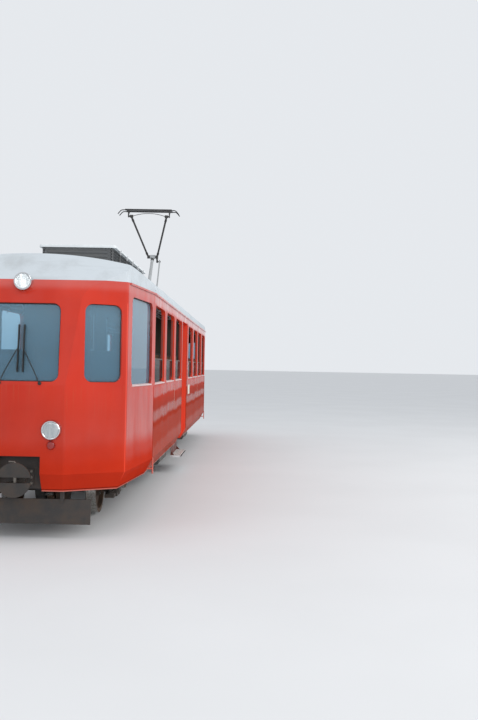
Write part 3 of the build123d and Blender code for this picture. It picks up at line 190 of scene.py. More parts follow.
class Paint:
    """Builds the node tree of one Principled material"""

    def __init__(self, name, **values):
        self.material = bpy.data.materials.new(name)
        self.material.use_nodes = True
        self.tree = self.material.node_tree
        self.shader = self.tree.nodes["Principled BSDF"]
        self.place = self.node("ShaderNodeTexCoord").outputs["Object"]
        self.set(**values)

    def node(self, kind, **settings):
        node = self.tree.nodes.new(kind)
        for key, value in settings.items():
            setattr(node, key, value)
        return node

    def link(self, value, socket):
        """Links a node value to a socket, or sets a number, vector or colour on it"""
        if isinstance(value, bpy.types.NodeSocket):
            self.tree.links.new(value, socket)
        else:
            socket.default_value = (*value, 1.0) if socket.type == "RGBA" else value

    def set(self, **values):
        for key, value in values.items():
            self.link(value, self.shader.inputs[SOCKETS[key]])
        return self

    def math(self, operation, a, b=0.0):
        node = self.node("ShaderNodeMath", operation=operation)
        self.link(a, node.inputs[0])
        self.link(b, node.inputs[1])
        return node.outputs[0]

    plus, minus = partialmethod(math, "ADD"), partialmethod(math, "SUBTRACT")
    times, away = partialmethod(math, "MULTIPLY"), partialmethod(math, "ABSOLUTE")
    most, least = partialmethod(math, "MAXIMUM"), partialmethod(math, "MINIMUM")

    def axes(self, vector=None):
        """X, Y and Z of a vector, or else of the place in the car's frame"""
        node = self.node("ShaderNodeSeparateXYZ")
        self.link(vector or self.place, node.inputs[0])
        return node.outputs

    def facing(self):
        """X, Y and Z of the way that the surface looks"""
        return self.axes(self.node("ShaderNodeTexCoord").outputs["Normal"])

    def noise(self, scale, detail=3.0, rough=0.5, stretch=None, distortion=0.0):
        place = self.place
        if stretch:
            mapping = self.node("ShaderNodeMapping")
            self.link(place, mapping.inputs["Vector"])
            self.link(stretch, mapping.inputs["Scale"])
            place = mapping.outputs[0]
        node = self.node("ShaderNodeTexNoise")
        keys = "Vector", "Scale", "Detail", "Roughness", "Distortion"
        for key, value in zip(keys, (place, scale, detail, rough, distortion)):
            self.link(value, node.inputs[key])
        return node.outputs["Fac"]

    def ramp(self, value, start, end, low_value=0.0, high_value=1.0):
        """Maps start..end of a value smoothly to low_value..high_value, held at both ends"""
        node = self.node("ShaderNodeMapRange", interpolation_type="SMOOTHSTEP")
        for socket, item in zip(node.inputs, (value, start, end, low_value, high_value)):
            self.link(item, socket)
        return node.outputs[0]

    def mix(self, share, a, b):
        """Colour a with a share of colour b"""
        node = self.node("ShaderNodeMix", data_type="RGBA")
        for socket, item in zip((node.inputs["Factor"], node.inputs[6], node.inputs[7]), (share, a, b)):
            self.link(item, socket)
        return node.outputs[2]

    def bump(self, height, distance, strength, normal=None):
        node = self.node("ShaderNodeBump")
        keys = "Height", "Distance", "Strength", "Normal"
        for key, value in zip(keys, (height, distance, strength, normal)):
            if value is not None:
                self.link(value, node.inputs[key])
        return node.outputs[0]


def srgb(r, g, b):
    """Linear colour from 8-bit values read off the photograph"""
    return tuple(((c / 255 + 0.055) / 1.055) ** 2.4 if c > 10 else c / 255 / 12.92 for c in (r, g, b))


RED = srgb(202, 50, 28)
RED_DEEP = srgb(186, 43, 25)
RED_DUSTY = srgb(178, 84, 58)
# Darker red for the painted dark reflection below the sills
RED_PAINTED_DARK_REFLECTION = srgb(148, 46, 25)
RED_LIT = srgb(232, 78, 56)
RED_SHADED = srgb(138, 44, 30)
# Pinker red for the painted sky sheen above the windows
RED_PAINTED_SHEEN = srgb(214, 150, 146)
# Laminate and ceiling colours, darkened as painted shade
LAMINATE_PAINTED_SHADE = srgb(62, 62, 50)
LAMINATE_PAINTED_SHADE_WORN = srgb(46, 48, 38)
CEILING_PAINTED_SHADE = srgb(92, 92, 84)
HEM = srgb(222, 176, 164)
ROOF_GREY = srgb(202, 209, 214)
ROOF_SOOT = srgb(150, 152, 152)
RUST = srgb(112, 62, 36)

# Tones of the enamel: how much painted dark reflection lies below the sill, how dusty it is at the skirt and
# how pale at the hem
CAB_PAINTED_REFLECTION_DUST_HEM = (0.18, 0.10, 0.35)
SIDE_PAINTED_REFLECTION_DUST_HEM = (0.78, 0.45, 0.80)

# Shine of the enamel: its value at the hem, then heights from the sill where it changes, its value from
# there up, and how soft the change is
CAB_SHINE = (0.0, ((-1.02, 0.03, 0.02), (-0.82, 0.26, 0.08), (-0.64, 0.88, 0.10), (1.04, 1.0, 0.03)))
SIDE_SHINE = (
    0.32,
    (
        (-0.80, 0.13, 0.05),
        (-0.55, 0.05, 0.02),
        (-0.47, 0.50, 0.03),
        (-0.34, 0.10, 0.03),
        (-0.16, 0.60, 0.02),
        (-0.03, 0.44, 0.02),
        (1.04, 1.0, 0.03),
    ),
)


def body_depth(p):
    """How far a point lies behind the outer skin of the body, as a node value"""
    x, y, z = p.axes()
    x, y = p.away(x), p.away(y)
    tuck = p.times(p.most(p.minus(CREASE_Z, z), 0.0), SKIRT_SLOPE)
    taper = p.times(p.most(p.minus(x, SALOON_X), 0.0), CAB_TAPER)
    lean = p.times(p.most(p.minus(z, SILL_Z), 0.0), NOSE_LEAN)
    side = p.minus(SIDE_Y, p.plus(y, taper))
    nose = p.minus(NOSE_X, p.plus(x, lean))
    corner = p.minus(CORNER_REACH, p.plus(p.times(x, CORNER_OUT.x), p.times(y, CORNER_OUT.y)))
    return p.minus(p.least(side, p.least(nose, corner)), tuck)


def red_layers(p, z, cab):
    """Colour, roughness and dirt of aged red enamel: a painted sky sheen above the windows, a painted dark
    reflection below the sills, streaked below the sills, dusty low down
    """
    dark_reflection, dust, hem = CAB_PAINTED_REFLECTION_DUST_HEM if cab else SIDE_PAINTED_REFLECTION_DUST_HEM
    color = p.mix(p.ramp(p.noise(1.1, 4.0, 0.6), 0.3, 0.75), RED, RED_DEEP)
    # Painted dark reflection: darker red below the sills
    color = p.mix(p.ramp(z, SILL_Z + 0.04, SILL_Z - 0.36, 0.0, dark_reflection), color, RED_PAINTED_DARK_REFLECTION)
    # Painted sky sheen: pinker red above the window tops
    color = p.mix(p.ramp(z, WINDOW_TOP_Z + 0.01, WINDOW_TOP_Z + 0.09, 0.0, 0.16), color, RED_PAINTED_SHEEN)
    fine = p.ramp(p.noise(60.0, 3.0, 0.7), 0.3, 0.8, 0.35, 1.0)
    dust = p.times(p.ramp(z, CREASE_Z + 0.75, SKIRT_Z, 0.0, dust), fine)
    streaks = p.ramp(p.noise(9.0, 3.0, 0.6, stretch=(6.0, 6.0, 0.25)), 0.52, 0.75, 0.0, 0.30)
    below_sill = p.times(p.ramp(z, SILL_Z - 0.55, SILL_Z), p.ramp(z, SILL_Z + 0.01, SILL_Z))
    dirt = p.most(dust, p.times(below_sill, streaks))
    color = p.mix(dirt, color, RED_DUSTY)
    if cab:
        below, above = (p.ramp(z, SKIRT_Z + a, SKIRT_Z + b) for a, b in ((0.030, 0.027), (0.015, 0.018)))
        color = p.mix(p.times(p.times(below, above), 0.7), color, srgb(96, 30, 22))
    color = p.mix(p.ramp(z, SKIRT_Z + 0.014, SKIRT_Z + 0.011, 0.0, hem), color, HEM)
    return color, p.ramp(dirt, 0.0, 0.5, 0.34, 0.62), dirt


def faces_inwards(p):
    """One where a surface looks towards the inside of the car, zero elsewhere"""
    x, y, _ = p.axes()
    nx, ny, _ = p.facing()
    in_cab = p.ramp(p.away(x), SALOON_X + 0.06, SALOON_X + 0.07)
    along = p.times(p.times(nx, p.math("SIGN", x)), in_cab)
    across = p.times(ny, p.math("SIGN", y))
    return p.ramp(p.plus(along, across), -0.15, -0.30)


def shine_of(p, z, table):
    """Polish that differs from one height to another, with ragged edges"""
    swell = p.times(p.minus(p.noise(0.8, 3.0, 0.6, stretch=(1.0, 1.0, 0.3)), 0.5), 0.12)
    ragged = p.times(p.minus(p.noise(3.2, 5.0, 0.6, stretch=(1.0, 1.0, 0.12)), 0.5), 0.11)
    at = p.plus(z, p.plus(swell, ragged))
    value, changes = table
    for height, after, soft in changes:
        value = p.ramp(at, SILL_Z + height - soft, SILL_Z + height + soft, value, after)
    return p.times(value, p.ramp(p.noise(5.0, 4.0, 0.6, stretch=(1.0, 1.0, 0.2)), 0.3, 0.7, 0.72, 1.12))


def body_paint(name, cab=False, recess=False):
    """Red outside and through the wall, laminate inside and ceiling faces darkened as painted shade, and pale
    grey over the gutter
    """
    p = Paint(name, coat_rough=0.10, specular=0.0)
    x, y, z = p.axes()
    color, rough, dirt = red_layers(p, z, cab)
    if recess:
        y = p.away(y)
        from_door = p.away(p.minus(x, (DOOR_REAR + DOOR_FRONT) / 2))
        past_jamb = (DOOR_FRONT - DOOR_REAR) / 2 + JAMB
        beside = p.ramp(from_door, past_jamb, past_jamb + 0.001)
        behind = p.times(beside, p.ramp(y, SIDE_Y - WALL + 0.001, SIDE_Y - WALL))
        inner = p.most(behind, p.ramp(y, DOOR_Y - JAMB, DOOR_Y - JAMB - 0.001))
        color = p.mix(p.ramp(y, SIDE_Y - 0.010, SIDE_Y - 0.012), color, RED_LIT)
    else:
        depth = body_depth(p)
        inner = p.times(p.ramp(depth, WALL - 0.001, WALL - 0.0005), faces_inwards(p))
        reveal, top = RED_LIT, WINDOW_TOP_Z + 0.008
        if cab:
            beside = p.ramp(p.away(x), CAB_CORNER.x - 0.03, CAB_CORNER.x - 0.05)
            reveal = p.mix(beside, RED_LIT, RED_SHADED)
            top = p.ramp(beside, 0.0, 1.0, SILL_Z + 0.925, top)
        below_top = p.ramp(p.minus(z, top), 0.004, -0.002)
        color = p.mix(p.times(p.ramp(depth, 0.003, 0.006, 0.0, 0.7), below_top), color, reveal)
    # The laminate inside is darkened as painted shade
    color = p.mix(inner, color, p.mix(p.ramp(p.noise(7.0, 4.0), 0.3, 0.8), LAMINATE_PAINTED_SHADE, LAMINATE_PAINTED_SHADE_WORN))
    polish = p.times(shine_of(p, z, CAB_SHINE if cab else SIDE_SHINE), p.ramp(dirt, 0.0, 0.5, 1.0, 0.35))
    coat = p.times(polish, p.minus(1.0, inner))
    if not recess:
        line = p.ramp(z, GUTTER_Z + 0.020, GUTTER_Z + 0.022)
        soot = p.times(p.ramp(p.noise(2.2, 5.0, 0.65), 0.45, 0.8), 0.40)
        runs = p.times(p.ramp(p.noise(5.0, 4.0, 0.6, stretch=(5.0, 0.4, 1.0)), 0.5, 0.8), 0.3)
        pale = p.mix(p.most(soot, runs), ROOF_GREY, ROOF_SOOT)
        # Faces that look down over the gutter take the ceiling grey, darkened as painted shade
        color = p.mix(line, color, p.mix(p.ramp(p.facing()[2], -0.15, -0.16), pale, CEILING_PAINTED_SHADE))
        rough = p.mix(line, rough, (0.6, 0.6, 0.6))
        coat = p.times(coat, p.minus(1.0, line))
    swell = p.bump(p.noise(0.9, 2.0, 0.5), 0.004, 0.35)
    grain = p.bump(p.noise(420.0, 2.0, 0.5), 0.0002, 0.25, swell)
    return p.set(color=color, rough=rough, coat=coat, normal=grain).material


# The metals, woods and glazes below take 8-bit colours
def dusty_metal(name, base, dust=(106, 84, 66), amount=0.55, metal=0.0, rough=0.55, rust=0.25):
    """Painted or bare metal under brake dust, which lies thicker on what faces up"""
    p = Paint(name, metal=metal)
    lying = p.ramp(p.facing()[2], -0.2, 0.9, 0.35, 1.0)
    film = p.ramp(p.noise(6.0, 5.0, 0.65), 0.32, 0.75)
    dirt = p.times(p.times(film, lying), amount)
    spots = p.times(p.ramp(p.noise(26.0, 4.0, 0.7), 0.62, 0.74), rust)
    p.set(color=p.mix(spots, p.mix(dirt, srgb(*base), srgb(*dust)), RUST))
    p.set(rough=p.ramp(dirt, 0.0, 0.6, rough, 0.9))
    return p.set(normal=p.bump(p.noise(140.0, 4.0, 0.6), 0.0006, 0.5)).material


def varnished_wood(name, light, dark, along, gloss=0.35):
    p = Paint(name, coat_rough=0.25, coat=gloss)
    dark = srgb(*dark)
    grain = p.noise(3.0, 6.0, 0.65, stretch=along, distortion=0.6)
    pores = p.noise(30.0, 3.0, 0.6, stretch=along)
    color = p.mix(p.ramp(grain, 0.3, 0.7), srgb(*light), dark)
    color = p.mix(p.times(p.ramp(pores, 0.55, 0.7), 0.4), color, tuple(c * 0.5 for c in dark))
    p.set(color=color, rough=p.ramp(grain, 0.2, 0.8, 0.38, 0.5))
    return p.set(normal=p.bump(pores, 0.0003, 0.5)).material


def clear_glass(name):
    """Window glass, with a painted sky reflection in the cabs that is lighter towards the top, and less shine
    on the lowered panes of the saloon
    """
    p = Paint(name)
    cab = p.ramp(p.away(p.axes()[0]), SALOON_X, SALOON_X + 0.02)
    film = p.times(p.ramp(p.noise(3.0, 5.0, 0.7), 0.45, 0.8), 0.10)
    smears = p.times(p.ramp(p.noise(14.0, 3.0, 0.6, stretch=(1.0, 1.0, 0.3)), 0.55, 0.8), 0.05)
    dirt = p.most(film, smears)
    height = p.ramp(p.axes()[2], SILL_Z + 0.2, WINDOW_TOP_Z)
    # Painted sky reflection in the cab glass, lighter towards the top
    cab_painted_sky = p.mix(height, (0.28, 0.50, 0.66), (0.40, 0.64, 0.80))
    p.set(color=p.mix(dirt, p.mix(cab, (0.378, 0.4095, 0.4185), cab_painted_sky), srgb(190, 190, 180)))
    p.set(ior=p.ramp(cab, 0.0, 1.0, 1.02, 1.32), transmission=p.ramp(cab, 0.0, 1.0, 0.97, 0.74))
    return p.set(rough=p.ramp(dirt, 0.0, 0.1, 0.02, 0.12)).material


def lamp_glass(name):
    """Fluted glass over a silvered reflector"""
    p = Paint(name, metal=0.85, coat=1.0, coat_rough=0.03)
    flutes = p.math("SINE", p.times(p.axes()[1], 520.0))
    rings = p.ramp(p.noise(30.0, 2.0, 0.5, stretch=(1.0, 1.0, 0.2)), 0.3, 0.7)
    p.set(color=p.mix(rings, srgb(196, 202, 204), srgb(170, 177, 180)))
    p.set(rough=p.ramp(rings, 0.0, 1.0, 0.10, 0.22))
    return p.set(normal=p.bump(flutes, 0.0012, 0.6)).material


def step_metal(name):
    """Bright worn tread with dirt between its ribs, on a riser and end plates painted dark red-brown as shade
    """
    p = Paint(name, metal=0.25)
    _, y, z = p.axes()
    across = p.times(p.minus(p.away(y), STEP_IN), STEP_RIBS / (STEP_OUT - STEP_IN))
    gap = p.ramp(p.away(p.minus(p.math("FRACT", across), 0.5)), 0.28, 0.34)
    top = p.ramp(p.facing()[2], 0.8, 0.9)
    worn = p.ramp(p.noise(16.0, 4.0, 0.6, stretch=(0.3, 1.0, 1.0)), 0.35, 0.7)
    bright = p.mix(worn, srgb(232, 232, 234), srgb(204, 202, 202))
    tread = p.mix(p.times(gap, top), bright, srgb(112, 106, 100))
    # Riser and end plates: dark red-brown, painted shade
    above = p.mix(worn, srgb(112, 40, 28), srgb(84, 44, 34))
    p.set(color=p.mix(p.ramp(z, STEP_Z + 0.004, STEP_Z + 0.007), tread, above))
    p.set(rough=p.ramp(worn, 0.0, 1.0, 0.42, 0.6))
    return p.set(normal=p.bump(p.noise(90.0, 3.0), 0.0004, 0.4)).material


def brushed(name, base, rough=0.38, metal=1.0):
    p = Paint(name, metal=metal)
    base = srgb(*base)
    lines = p.noise(12.0, 4.0, 0.7, stretch=(1.0, 60.0, 60.0))
    blotch = p.times(p.ramp(p.noise(5.0, 4.0, 0.6), 0.35, 0.75), 0.35)
    p.set(color=p.mix(blotch, base, tuple(c * 0.6 for c in base)))
    p.set(rough=p.ramp(lines, 0.2, 0.8, rough - 0.08, rough + 0.14))
    return p.set(normal=p.bump(lines, 0.0002, 0.35)).material


def wheel_steel(name):
    """Bright running faces and teeth, dark webs under brake dust"""
    p = Paint(name)
    x, y, z = p.axes()
    x = p.away(x)
    dx = p.least(*[p.away(p.minus(x, axle)) for axle in AXLES[:2]])
    dz = p.minus(z, AXLE_Z)
    radius = p.math("SQRT", p.plus(p.times(dx, dx), p.times(dz, dz)))
    wheel = p.ramp(p.away(y), 0.44, 0.45)
    tread = p.times(p.ramp(radius, TREAD - 0.009, TREAD - 0.006), wheel)
    teeth = p.times(p.ramp(radius, 0.250, 0.262), p.minus(1.0, wheel))
    bright = p.most(tread, p.times(teeth, 0.85))
    dark = p.mix(p.ramp(p.noise(9.0, 5.0, 0.65), 0.3, 0.75), srgb(66, 56, 48), srgb(104, 80, 60))
    shine = p.mix(p.ramp(p.noise(40.0, 3.0), 0.4, 0.7), srgb(176, 174, 170), srgb(138, 134, 128))
    p.set(color=p.mix(bright, dark, shine), metal=p.times(bright, 0.95))
    p.set(rough=p.ramp(bright, 0.0, 1.0, 0.75, 0.24))
    return p.set(normal=p.bump(p.noise(120.0, 4.0), 0.0005, 0.4)).material


def glazed(name, base, dirt):
    p = Paint(name, coat=0.8, coat_rough=0.08, rough=0.3)
    film = p.times(p.ramp(p.noise(12.0, 4.0), 0.4, 0.75), 0.5)
    return p.set(color=p.mix(film, srgb(*base), srgb(*dirt))).material


MATERIAL = {
    "body": body_paint("body_enamel"),
    "cab": body_paint("cab_enamel", cab=True),
    "surround": body_paint("doorway_enamel", recess=True),
    "frame": dusty_metal("frame_black", (44, 42, 41)),
    "case": dusty_metal("case_grey", (74, 72, 70), amount=0.45),
    "bogie": dusty_metal("bogie_grey", (58, 54, 50), amount=0.65, rust=0.4),
    "motor": dusty_metal("motor_grey", (64, 66, 68), amount=0.6),
    "wheel": wheel_steel("wheel_steel"),
    "glass": clear_glass("window_glass"),
    "lens": lamp_glass("lamp_glass"),
    "step": step_metal("step_metal"),
    "step_rib": brushed("step_rib_metal", (226, 224, 220), 0.5, metal=0.2),
    "plate": dusty_metal("blank_plate", (226, 220, 206), (150, 130, 112), 0.35, rough=0.5, rust=0.1),
    # The pink of the drain ends is a painted sheen
    "pipe_red": dusty_metal("pink_painted_sheen_red", (204, 96, 80), (206, 164, 152), 0.6, rough=0.5, rust=0.1),
    "seam": dusty_metal("joint_filler", (206, 164, 152), (150, 120, 106), 0.4, rough=0.5, rust=0.1),
    "sash": dusty_metal("sash_steel", (92, 84, 80), (120, 100, 90), 0.4, rough=0.6, rust=0.1),
    "diffuser": dusty_metal("light_diffuser", (214, 212, 200), (176, 170, 156), 0.4, rough=0.5, rust=0.0),
    "aluminium": brushed("satin_aluminium", (196, 198, 200), metal=0.6),
    # The pink of the ledges is a painted reflection of the red sides
    "ledge": brushed("ledge_aluminium", (240, 214, 212), 0.5, metal=0.6),
    "chrome": brushed("polished_chrome", (214, 216, 218), 0.16),
    "worn": dusty_metal("worn_fittings", (120, 116, 110), amount=0.4, metal=0.6, rough=0.5),
    "spring": dusty_metal("spring_steel", (52, 50, 48), amount=0.5, rust=0.5),
    "pipe": dusty_metal("pipe_steel", (84, 82, 80), amount=0.4, metal=0.3, rough=0.5),
    "copper": brushed("conductor_copper", (150, 96, 66), 0.45),
    "slat": varnished_wood("slat_wood", (150, 104, 64), (104, 70, 42), (14.0, 0.6, 14.0)),
    "floor": dusty_metal("floor_covering", (88, 82, 76), (120, 108, 92), 0.4, rough=0.6, rust=0.0),
    "panel_wood": varnished_wood("panel_wood", (58, 54, 38), (40, 38, 28), (14.0, 14.0, 0.6), 0.1),
    "desk": dusty_metal("desk_enamel", (70, 78, 76), (110, 108, 100), 0.2, rough=0.45, rust=0.0),
    "louvre": dusty_metal("louvre_grey", (86, 88, 90), (120, 116, 108), 0.5),
    "lid": dusty_metal("lid_grey", (232, 236, 238), (150, 152, 152), 0.3, rust=0.05),
    "pan_grey": dusty_metal("pantograph_grey", (172, 176, 178), (120, 110, 100), 0.4, rust=0.15),
    "pan_dark": dusty_metal("pantograph_steel", (70, 70, 70), (104, 92, 80), 0.4, metal=0.4),
    "carbon": dusty_metal("contact_carbon", (40, 40, 42), (80, 76, 72), 0.3, rust=0.0),
    "rubber": dusty_metal("rubber_black", (30, 30, 31), (80, 76, 70), 0.35, rust=0.0, rough=0.6),
    "insulator": glazed("brown_glaze", (104, 52, 32), (96, 84, 74)),
    "tail": glazed("tail_lens", (150, 18, 14), (90, 20, 16)),
}

# Nodes of each material. Panes and wheelsets go by their names, and the other nodes are body enamel
NODES = {
    "floor": "floor",
    "frame": "sole_bars cross_members couplers rail_guards",
    "glass": "window_panes",
    "cab": "cab_shell_front cab_shell_rear",
    "surround": "door_surround_left door_surround_right",
    "louvre": "roof_box",
    "lid": "roof_box_lid",
    "panel_wood": "partitions",
    "case": "bench_seats bench_backs underfloor_equipment",
    "desk": "driver_places",
    "lens": "headlamps",
    "step": "step_treads",
    "aluminium": "door_rails",
    "bogie": "bogie_frame_front bogie_frame_rear",
    "motor": "motors_front motors_rear",
    "insulator": "pantograph_insulators",
    "pan_grey": "pantograph_base pantograph_lower_arm pantograph_rod",
    "pan_dark": "pantograph_upper_frame",
    "carbon": "pantograph_head",
}
MATERIAL_OF = {node: key for key, names in NODES.items() for node in names.split()}
for name, obj in nodes.items():
    by_name = "glass" if name.endswith("_pane") else "wheel" if name.startswith("wheelset") else "body"
    obj.data.materials.clear()
    obj.data.materials.append(MATERIAL[MATERIAL_OF.get(name, by_name)])


# Mesh building
AHEAD, UP = Vector((1, 0, 0)), Vector((0, 0, 1))


def ring(centre, across, up, radius, sides):
    """Points round a circle, drawn from two directions"""
    turns = [2 * math.pi * i / sides for i in range(sides)]
    return [centre + (across * math.cos(turn) + up * math.sin(turn)) * radius for turn in turns]


class Piece:
    """Shapes of one material on one body, gathered as vertices and faces and joined in one mesh"""

    def __init__(self, name, material, slot, body="car_body"):
        self.name, self.material, self.slot, self.body = name, material, slot, body
        self.verts, self.faces = [], []
        self.at = Matrix.Identity(4)

    def add(self, verts, faces):
        first = len(self.verts)
        self.verts += [self.at @ Vector(v) for v in verts]
        self.faces += [tuple(first + i for i in face) for face in faces]

    def box(self, low, high, edge=0.0):
        """A box between two corners, with its edges chamfered"""
        low, high = (Vector([pick(a, b) for a, b in zip(low, high)]) for pick in (min, max))
        shape = bmesh.new()
        bmesh.ops.create_cube(shape, size=1.0)
        size, middle = high - low, (high + low) / 2
        for v in shape.verts:
            v.co = middle + Vector([a * b for a, b in zip(v.co, size)])
        if edge:
            edge = min(edge, min(size) * 0.45)
            bmesh.ops.bevel(shape, geom=shape.edges[:], offset=edge, segments=1, affect="EDGES")
        shape.verts.index_update()
        self.add([v.co.copy() for v in shape.verts], [[v.index for v in f.verts] for f in shape.faces])
        shape.free()

    def prism(self, outline, start, end, axis="x"):
        """A polygon extruded along X or Y, drawn in the two other axes in their order"""
        count = len(outline)
        verts = [(c, a, b) if axis == "x" else (a, c, b) for c in (start, end) for a, b in outline]
        faces = [(i, (i + 1) % count, count + (i + 1) % count, count + i) for i in range(count)]
        self.add(verts, faces + [tuple(range(count))[::-1], tuple(range(count, 2 * count))])

    def skin(self, rings, closed):
        """Faces from ring to ring of points, back to the first or with both ends filled"""
        count, sides = len(rings), len(rings[0])
        faces = []
        for i in range(count if closed else count - 1):
            a, b = i * sides, (i + 1) % count * sides
            faces += [(a + k, a + (k + 1) % sides, b + (k + 1) % sides, b + k) for k in range(sides)]
        if not closed:
            faces += [tuple(range(sides))[::-1], tuple(range((count - 1) * sides, count * sides))]
        self.add([point for points in rings for point in points], faces)

    def lathe(self, profile, start, way, sides=24):
        """A profile of (distance along, radius) turned about a line from a point in a direction"""
        way = Vector(way).normalized()
        across = way.orthogonal().normalized()
        up = way.cross(across)
        closed = profile[0] == profile[-1]
        profile = profile[:-1] if closed else profile
        start = Vector(start)
        self.skin([ring(start + way * along, across, up, radius, sides) for along, radius in profile], closed)

    def rod(self, start, end, radius, sides=12):
        line = Vector(end) - Vector(start)
        self.lathe([(0.0, radius), (line.length, radius)], start, line, sides)

    def bolt(self, place, way, size=0.010):
        """A washer and a hexagon head"""
        self.lathe([(0.0, size * 1.15), (size * 0.22, size * 1.15)], place, way, 12)
        at = Vector(place) + Vector(way).normalized() * size * 0.22
        self.lathe([(0.0, size), (size * 0.6, size), (size * 0.75, size * 0.8)], at, way, 6)

    def tube(self, points, radius, sides=8, closed=False):
        """A round bar along a path"""
        points = [Vector(point) for point in points]
        rings, across = [], None
        for i, point in enumerate(points):
            before = points[i - 1] if closed or i else point
            after = points[(i + 1) % len(points)] if closed or i < len(points) - 1 else point
            along = (after - before).normalized()
            across = across or along.orthogonal()
            across = (across - along * across.dot(along)).normalized()
            rings.append(ring(point, across, along.cross(across), radius, sides))
        self.skin(rings, closed)

    def coil(self, start, end, radius, wire, turns):
        """A helical spring between two points"""
        line = Vector(end) - Vector(start)
        across = line.orthogonal().normalized()
        up = line.normalized().cross(across)
        steps = int(turns * 14)
        points = []
        for share in [i / steps for i in range(steps + 1)]:
            angle = 2 * math.pi * turns * share
            out = across * math.cos(angle) + up * math.sin(angle)
            points.append(Vector(start) + line * share + out * radius)
        self.tube(points, wire, 6)

    def mirror(self, axes):
        """Adds a copy on the other side of the car's middle plane across each axis named"""
        for index in ["xyz".index(axis) for axis in axes]:
            first = len(self.verts)
            for v in self.verts[:first]:
                copy = v.copy()
                copy[index] = -copy[index]
                self.verts.append(copy)
            self.faces += [tuple(first + i for i in reversed(face)) for face in self.faces]

    def done(self, mirrors=""):
        """Mirrors the shapes, joins them in one mesh and rides it on its body"""
        self.mirror(mirrors)
        mesh = bpy.data.meshes.new(self.name)
        shape = bmesh.new()
        verts = [shape.verts.new(v) for v in self.verts]
        for face in self.faces:
            shape.faces.new([verts[i] for i in face])
        bmesh.ops.recalc_face_normals(shape, faces=shape.faces[:])
        shape.to_mesh(mesh)
        shape.free()
        mesh.shade_smooth()
        mesh.set_sharp_from_angle(angle=math.radians(38.0))
        mesh.materials.append(MATERIAL[self.material])
        obj = bpy.data.objects.new(self.name, mesh)
        bpy.context.scene.collection.objects.link(obj)
        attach(obj, self.body)


def rounded(points, radius, steps=4, closed=False):
    """A path with its corners rounded"""
    points = [Vector(p) for p in points]
    path = []
    for i, point in enumerate(points):
        if not closed and i in (0, len(points) - 1):
            path.append(point)
            continue
        before, after = points[i - 1] - point, points[(i + 1) % len(points)] - point
        reach = min(radius, before.length * 0.45, after.length * 0.45)
        start, end = point + before.normalized() * reach, point + after.normalized() * reach
        for t in [k / steps for k in range(steps + 1)]:
            path.append(start * (1 - t) ** 2 + point * 2 * t * (1 - t) + end * t * t)
    return path


def face_frame(start, end):
    """Frame on an upright flat face of the cab: X along it, Y out of it, heights above the rail"""
    along = Vector((*(end - start), 0.0)).normalized()
    up = Vector((0.0, 0.0, 1.0))
    turn = Matrix((along, up.cross(along), up)).transposed().to_4x4()
    return Matrix.Translation((*start, RAIL_TOP)) @ turn


def window_loop(x, sill, width, top, depth, corner):
    """Corners of a window opening, walked round, in a frame with Y pointing out of the wall"""
    corners = [(x, depth, sill), (x + width, depth, sill), (x + width, depth, top), (x, depth, top)]
    return rounded(corners, corner, 5, closed=True)


def roof_line(offset):
    """Points (y, z) over the roof from one gutter to the other, at a distance from its skin"""
    centre_y, spring_z = SIDE_Y - SHOULDER, ROOF_Z - ROOF_RISE
    crown = (centre_y**2 + ROOF_RISE**2 - SHOULDER**2) / (2 * (ROOF_RISE - SHOULDER))
    centre_z = ROOF_Z - crown
    turn = math.atan2(centre_y, spring_z - centre_z)
    half = []
    for i in range(17):
        angle = turn * i / 16
        half.append(((crown + offset) * math.sin(angle), centre_z + (crown + offset) * math.cos(angle)))
    for i in range(1, 7):
        angle = turn + (math.pi / 2 - turn) * i / 6
        radius = SHOULDER + offset
        half.append((centre_y + radius * math.sin(angle), spring_z + radius * math.cos(angle)))
    return [(-y, z) for y, z in reversed(half[1:])] + half


LEAN = math.atan(NOSE_LEAN)
NOSE_FRAME = Matrix.Translation((NOSE_X, 0, SILL_Z)) @ Matrix(
    ((0, math.cos(LEAN), -math.sin(LEAN)), (-1, 0, 0), (0, math.sin(LEAN), math.cos(LEAN)))
).to_4x4()
CAB_WINDOWS = (
    # frame of the face, start along it, sill above the rail, width, top above the rail
    (face_frame(Vector((SALOON_X, SIDE_Y)), CAB_CORNER), 0.140, 1.660, 1.060, 2.680),
    (face_frame(CAB_CORNER, NOSE_CORNER), 0.070, 1.700, 0.430, 2.560),
)


# Windows: ledges below, rails and guides of the lowered panes, and rubber round the fixed panes
WINDOWS = [FIRST_REAR + i * WINDOW_PITCH for i in range(3)]
WINDOWS += [FIRST_FRONT + i * WINDOW_PITCH for i in range(4)]
PANE_DEPTH = 0.034
PANE_FACE = SIDE_Y - PANE_DEPTH
PANE_TOP = SILL_Z + 0.320
LEDGE = [(-0.033, -0.001), (-0.033, 0.012), (0.008, 0.003)]
LEDGE += [(0.011, -0.003), (0.008, -0.011), (-0.001, -0.013)]


def window_ledges():
    p = Piece("window_ledges", "ledge", "bare_aluminium")
    for x in WINDOWS:
        p.prism([(SIDE_Y + y, SILL_Z + z) for y, z in LEDGE], x + 0.012, x + WINDOW_W - 0.012)
    p.done("y")
    p = Piece("cab_window_ledges", "ledge", "bare_aluminium")
    p.at, start, sill, width, _ = CAB_WINDOWS[0]
    p.prism([(y, sill + z) for y, z in LEDGE], start + 0.030, start + width - 0.030)
    p.done("yx")


def window_sashes():
    p = Piece("window_sash_rails", "sash", "bare_aluminium")
    for x in WINDOWS:
        start = (x + 0.002, PANE_FACE - 0.012, PANE_TOP - 0.006)
        p.box(start, (x + WINDOW_W - 0.002, PANE_FACE + 0.003, PANE_TOP + 0.012), 0.003)
        for grip in (x + 0.18 * WINDOW_W, x + 0.82 * WINDOW_W):
            start = (grip - 0.035, PANE_FACE - 0.038, PANE_TOP - 0.004)
            p.box(start, (grip + 0.035, PANE_FACE - 0.011, PANE_TOP + 0.008), 0.004)
    p.done("y")


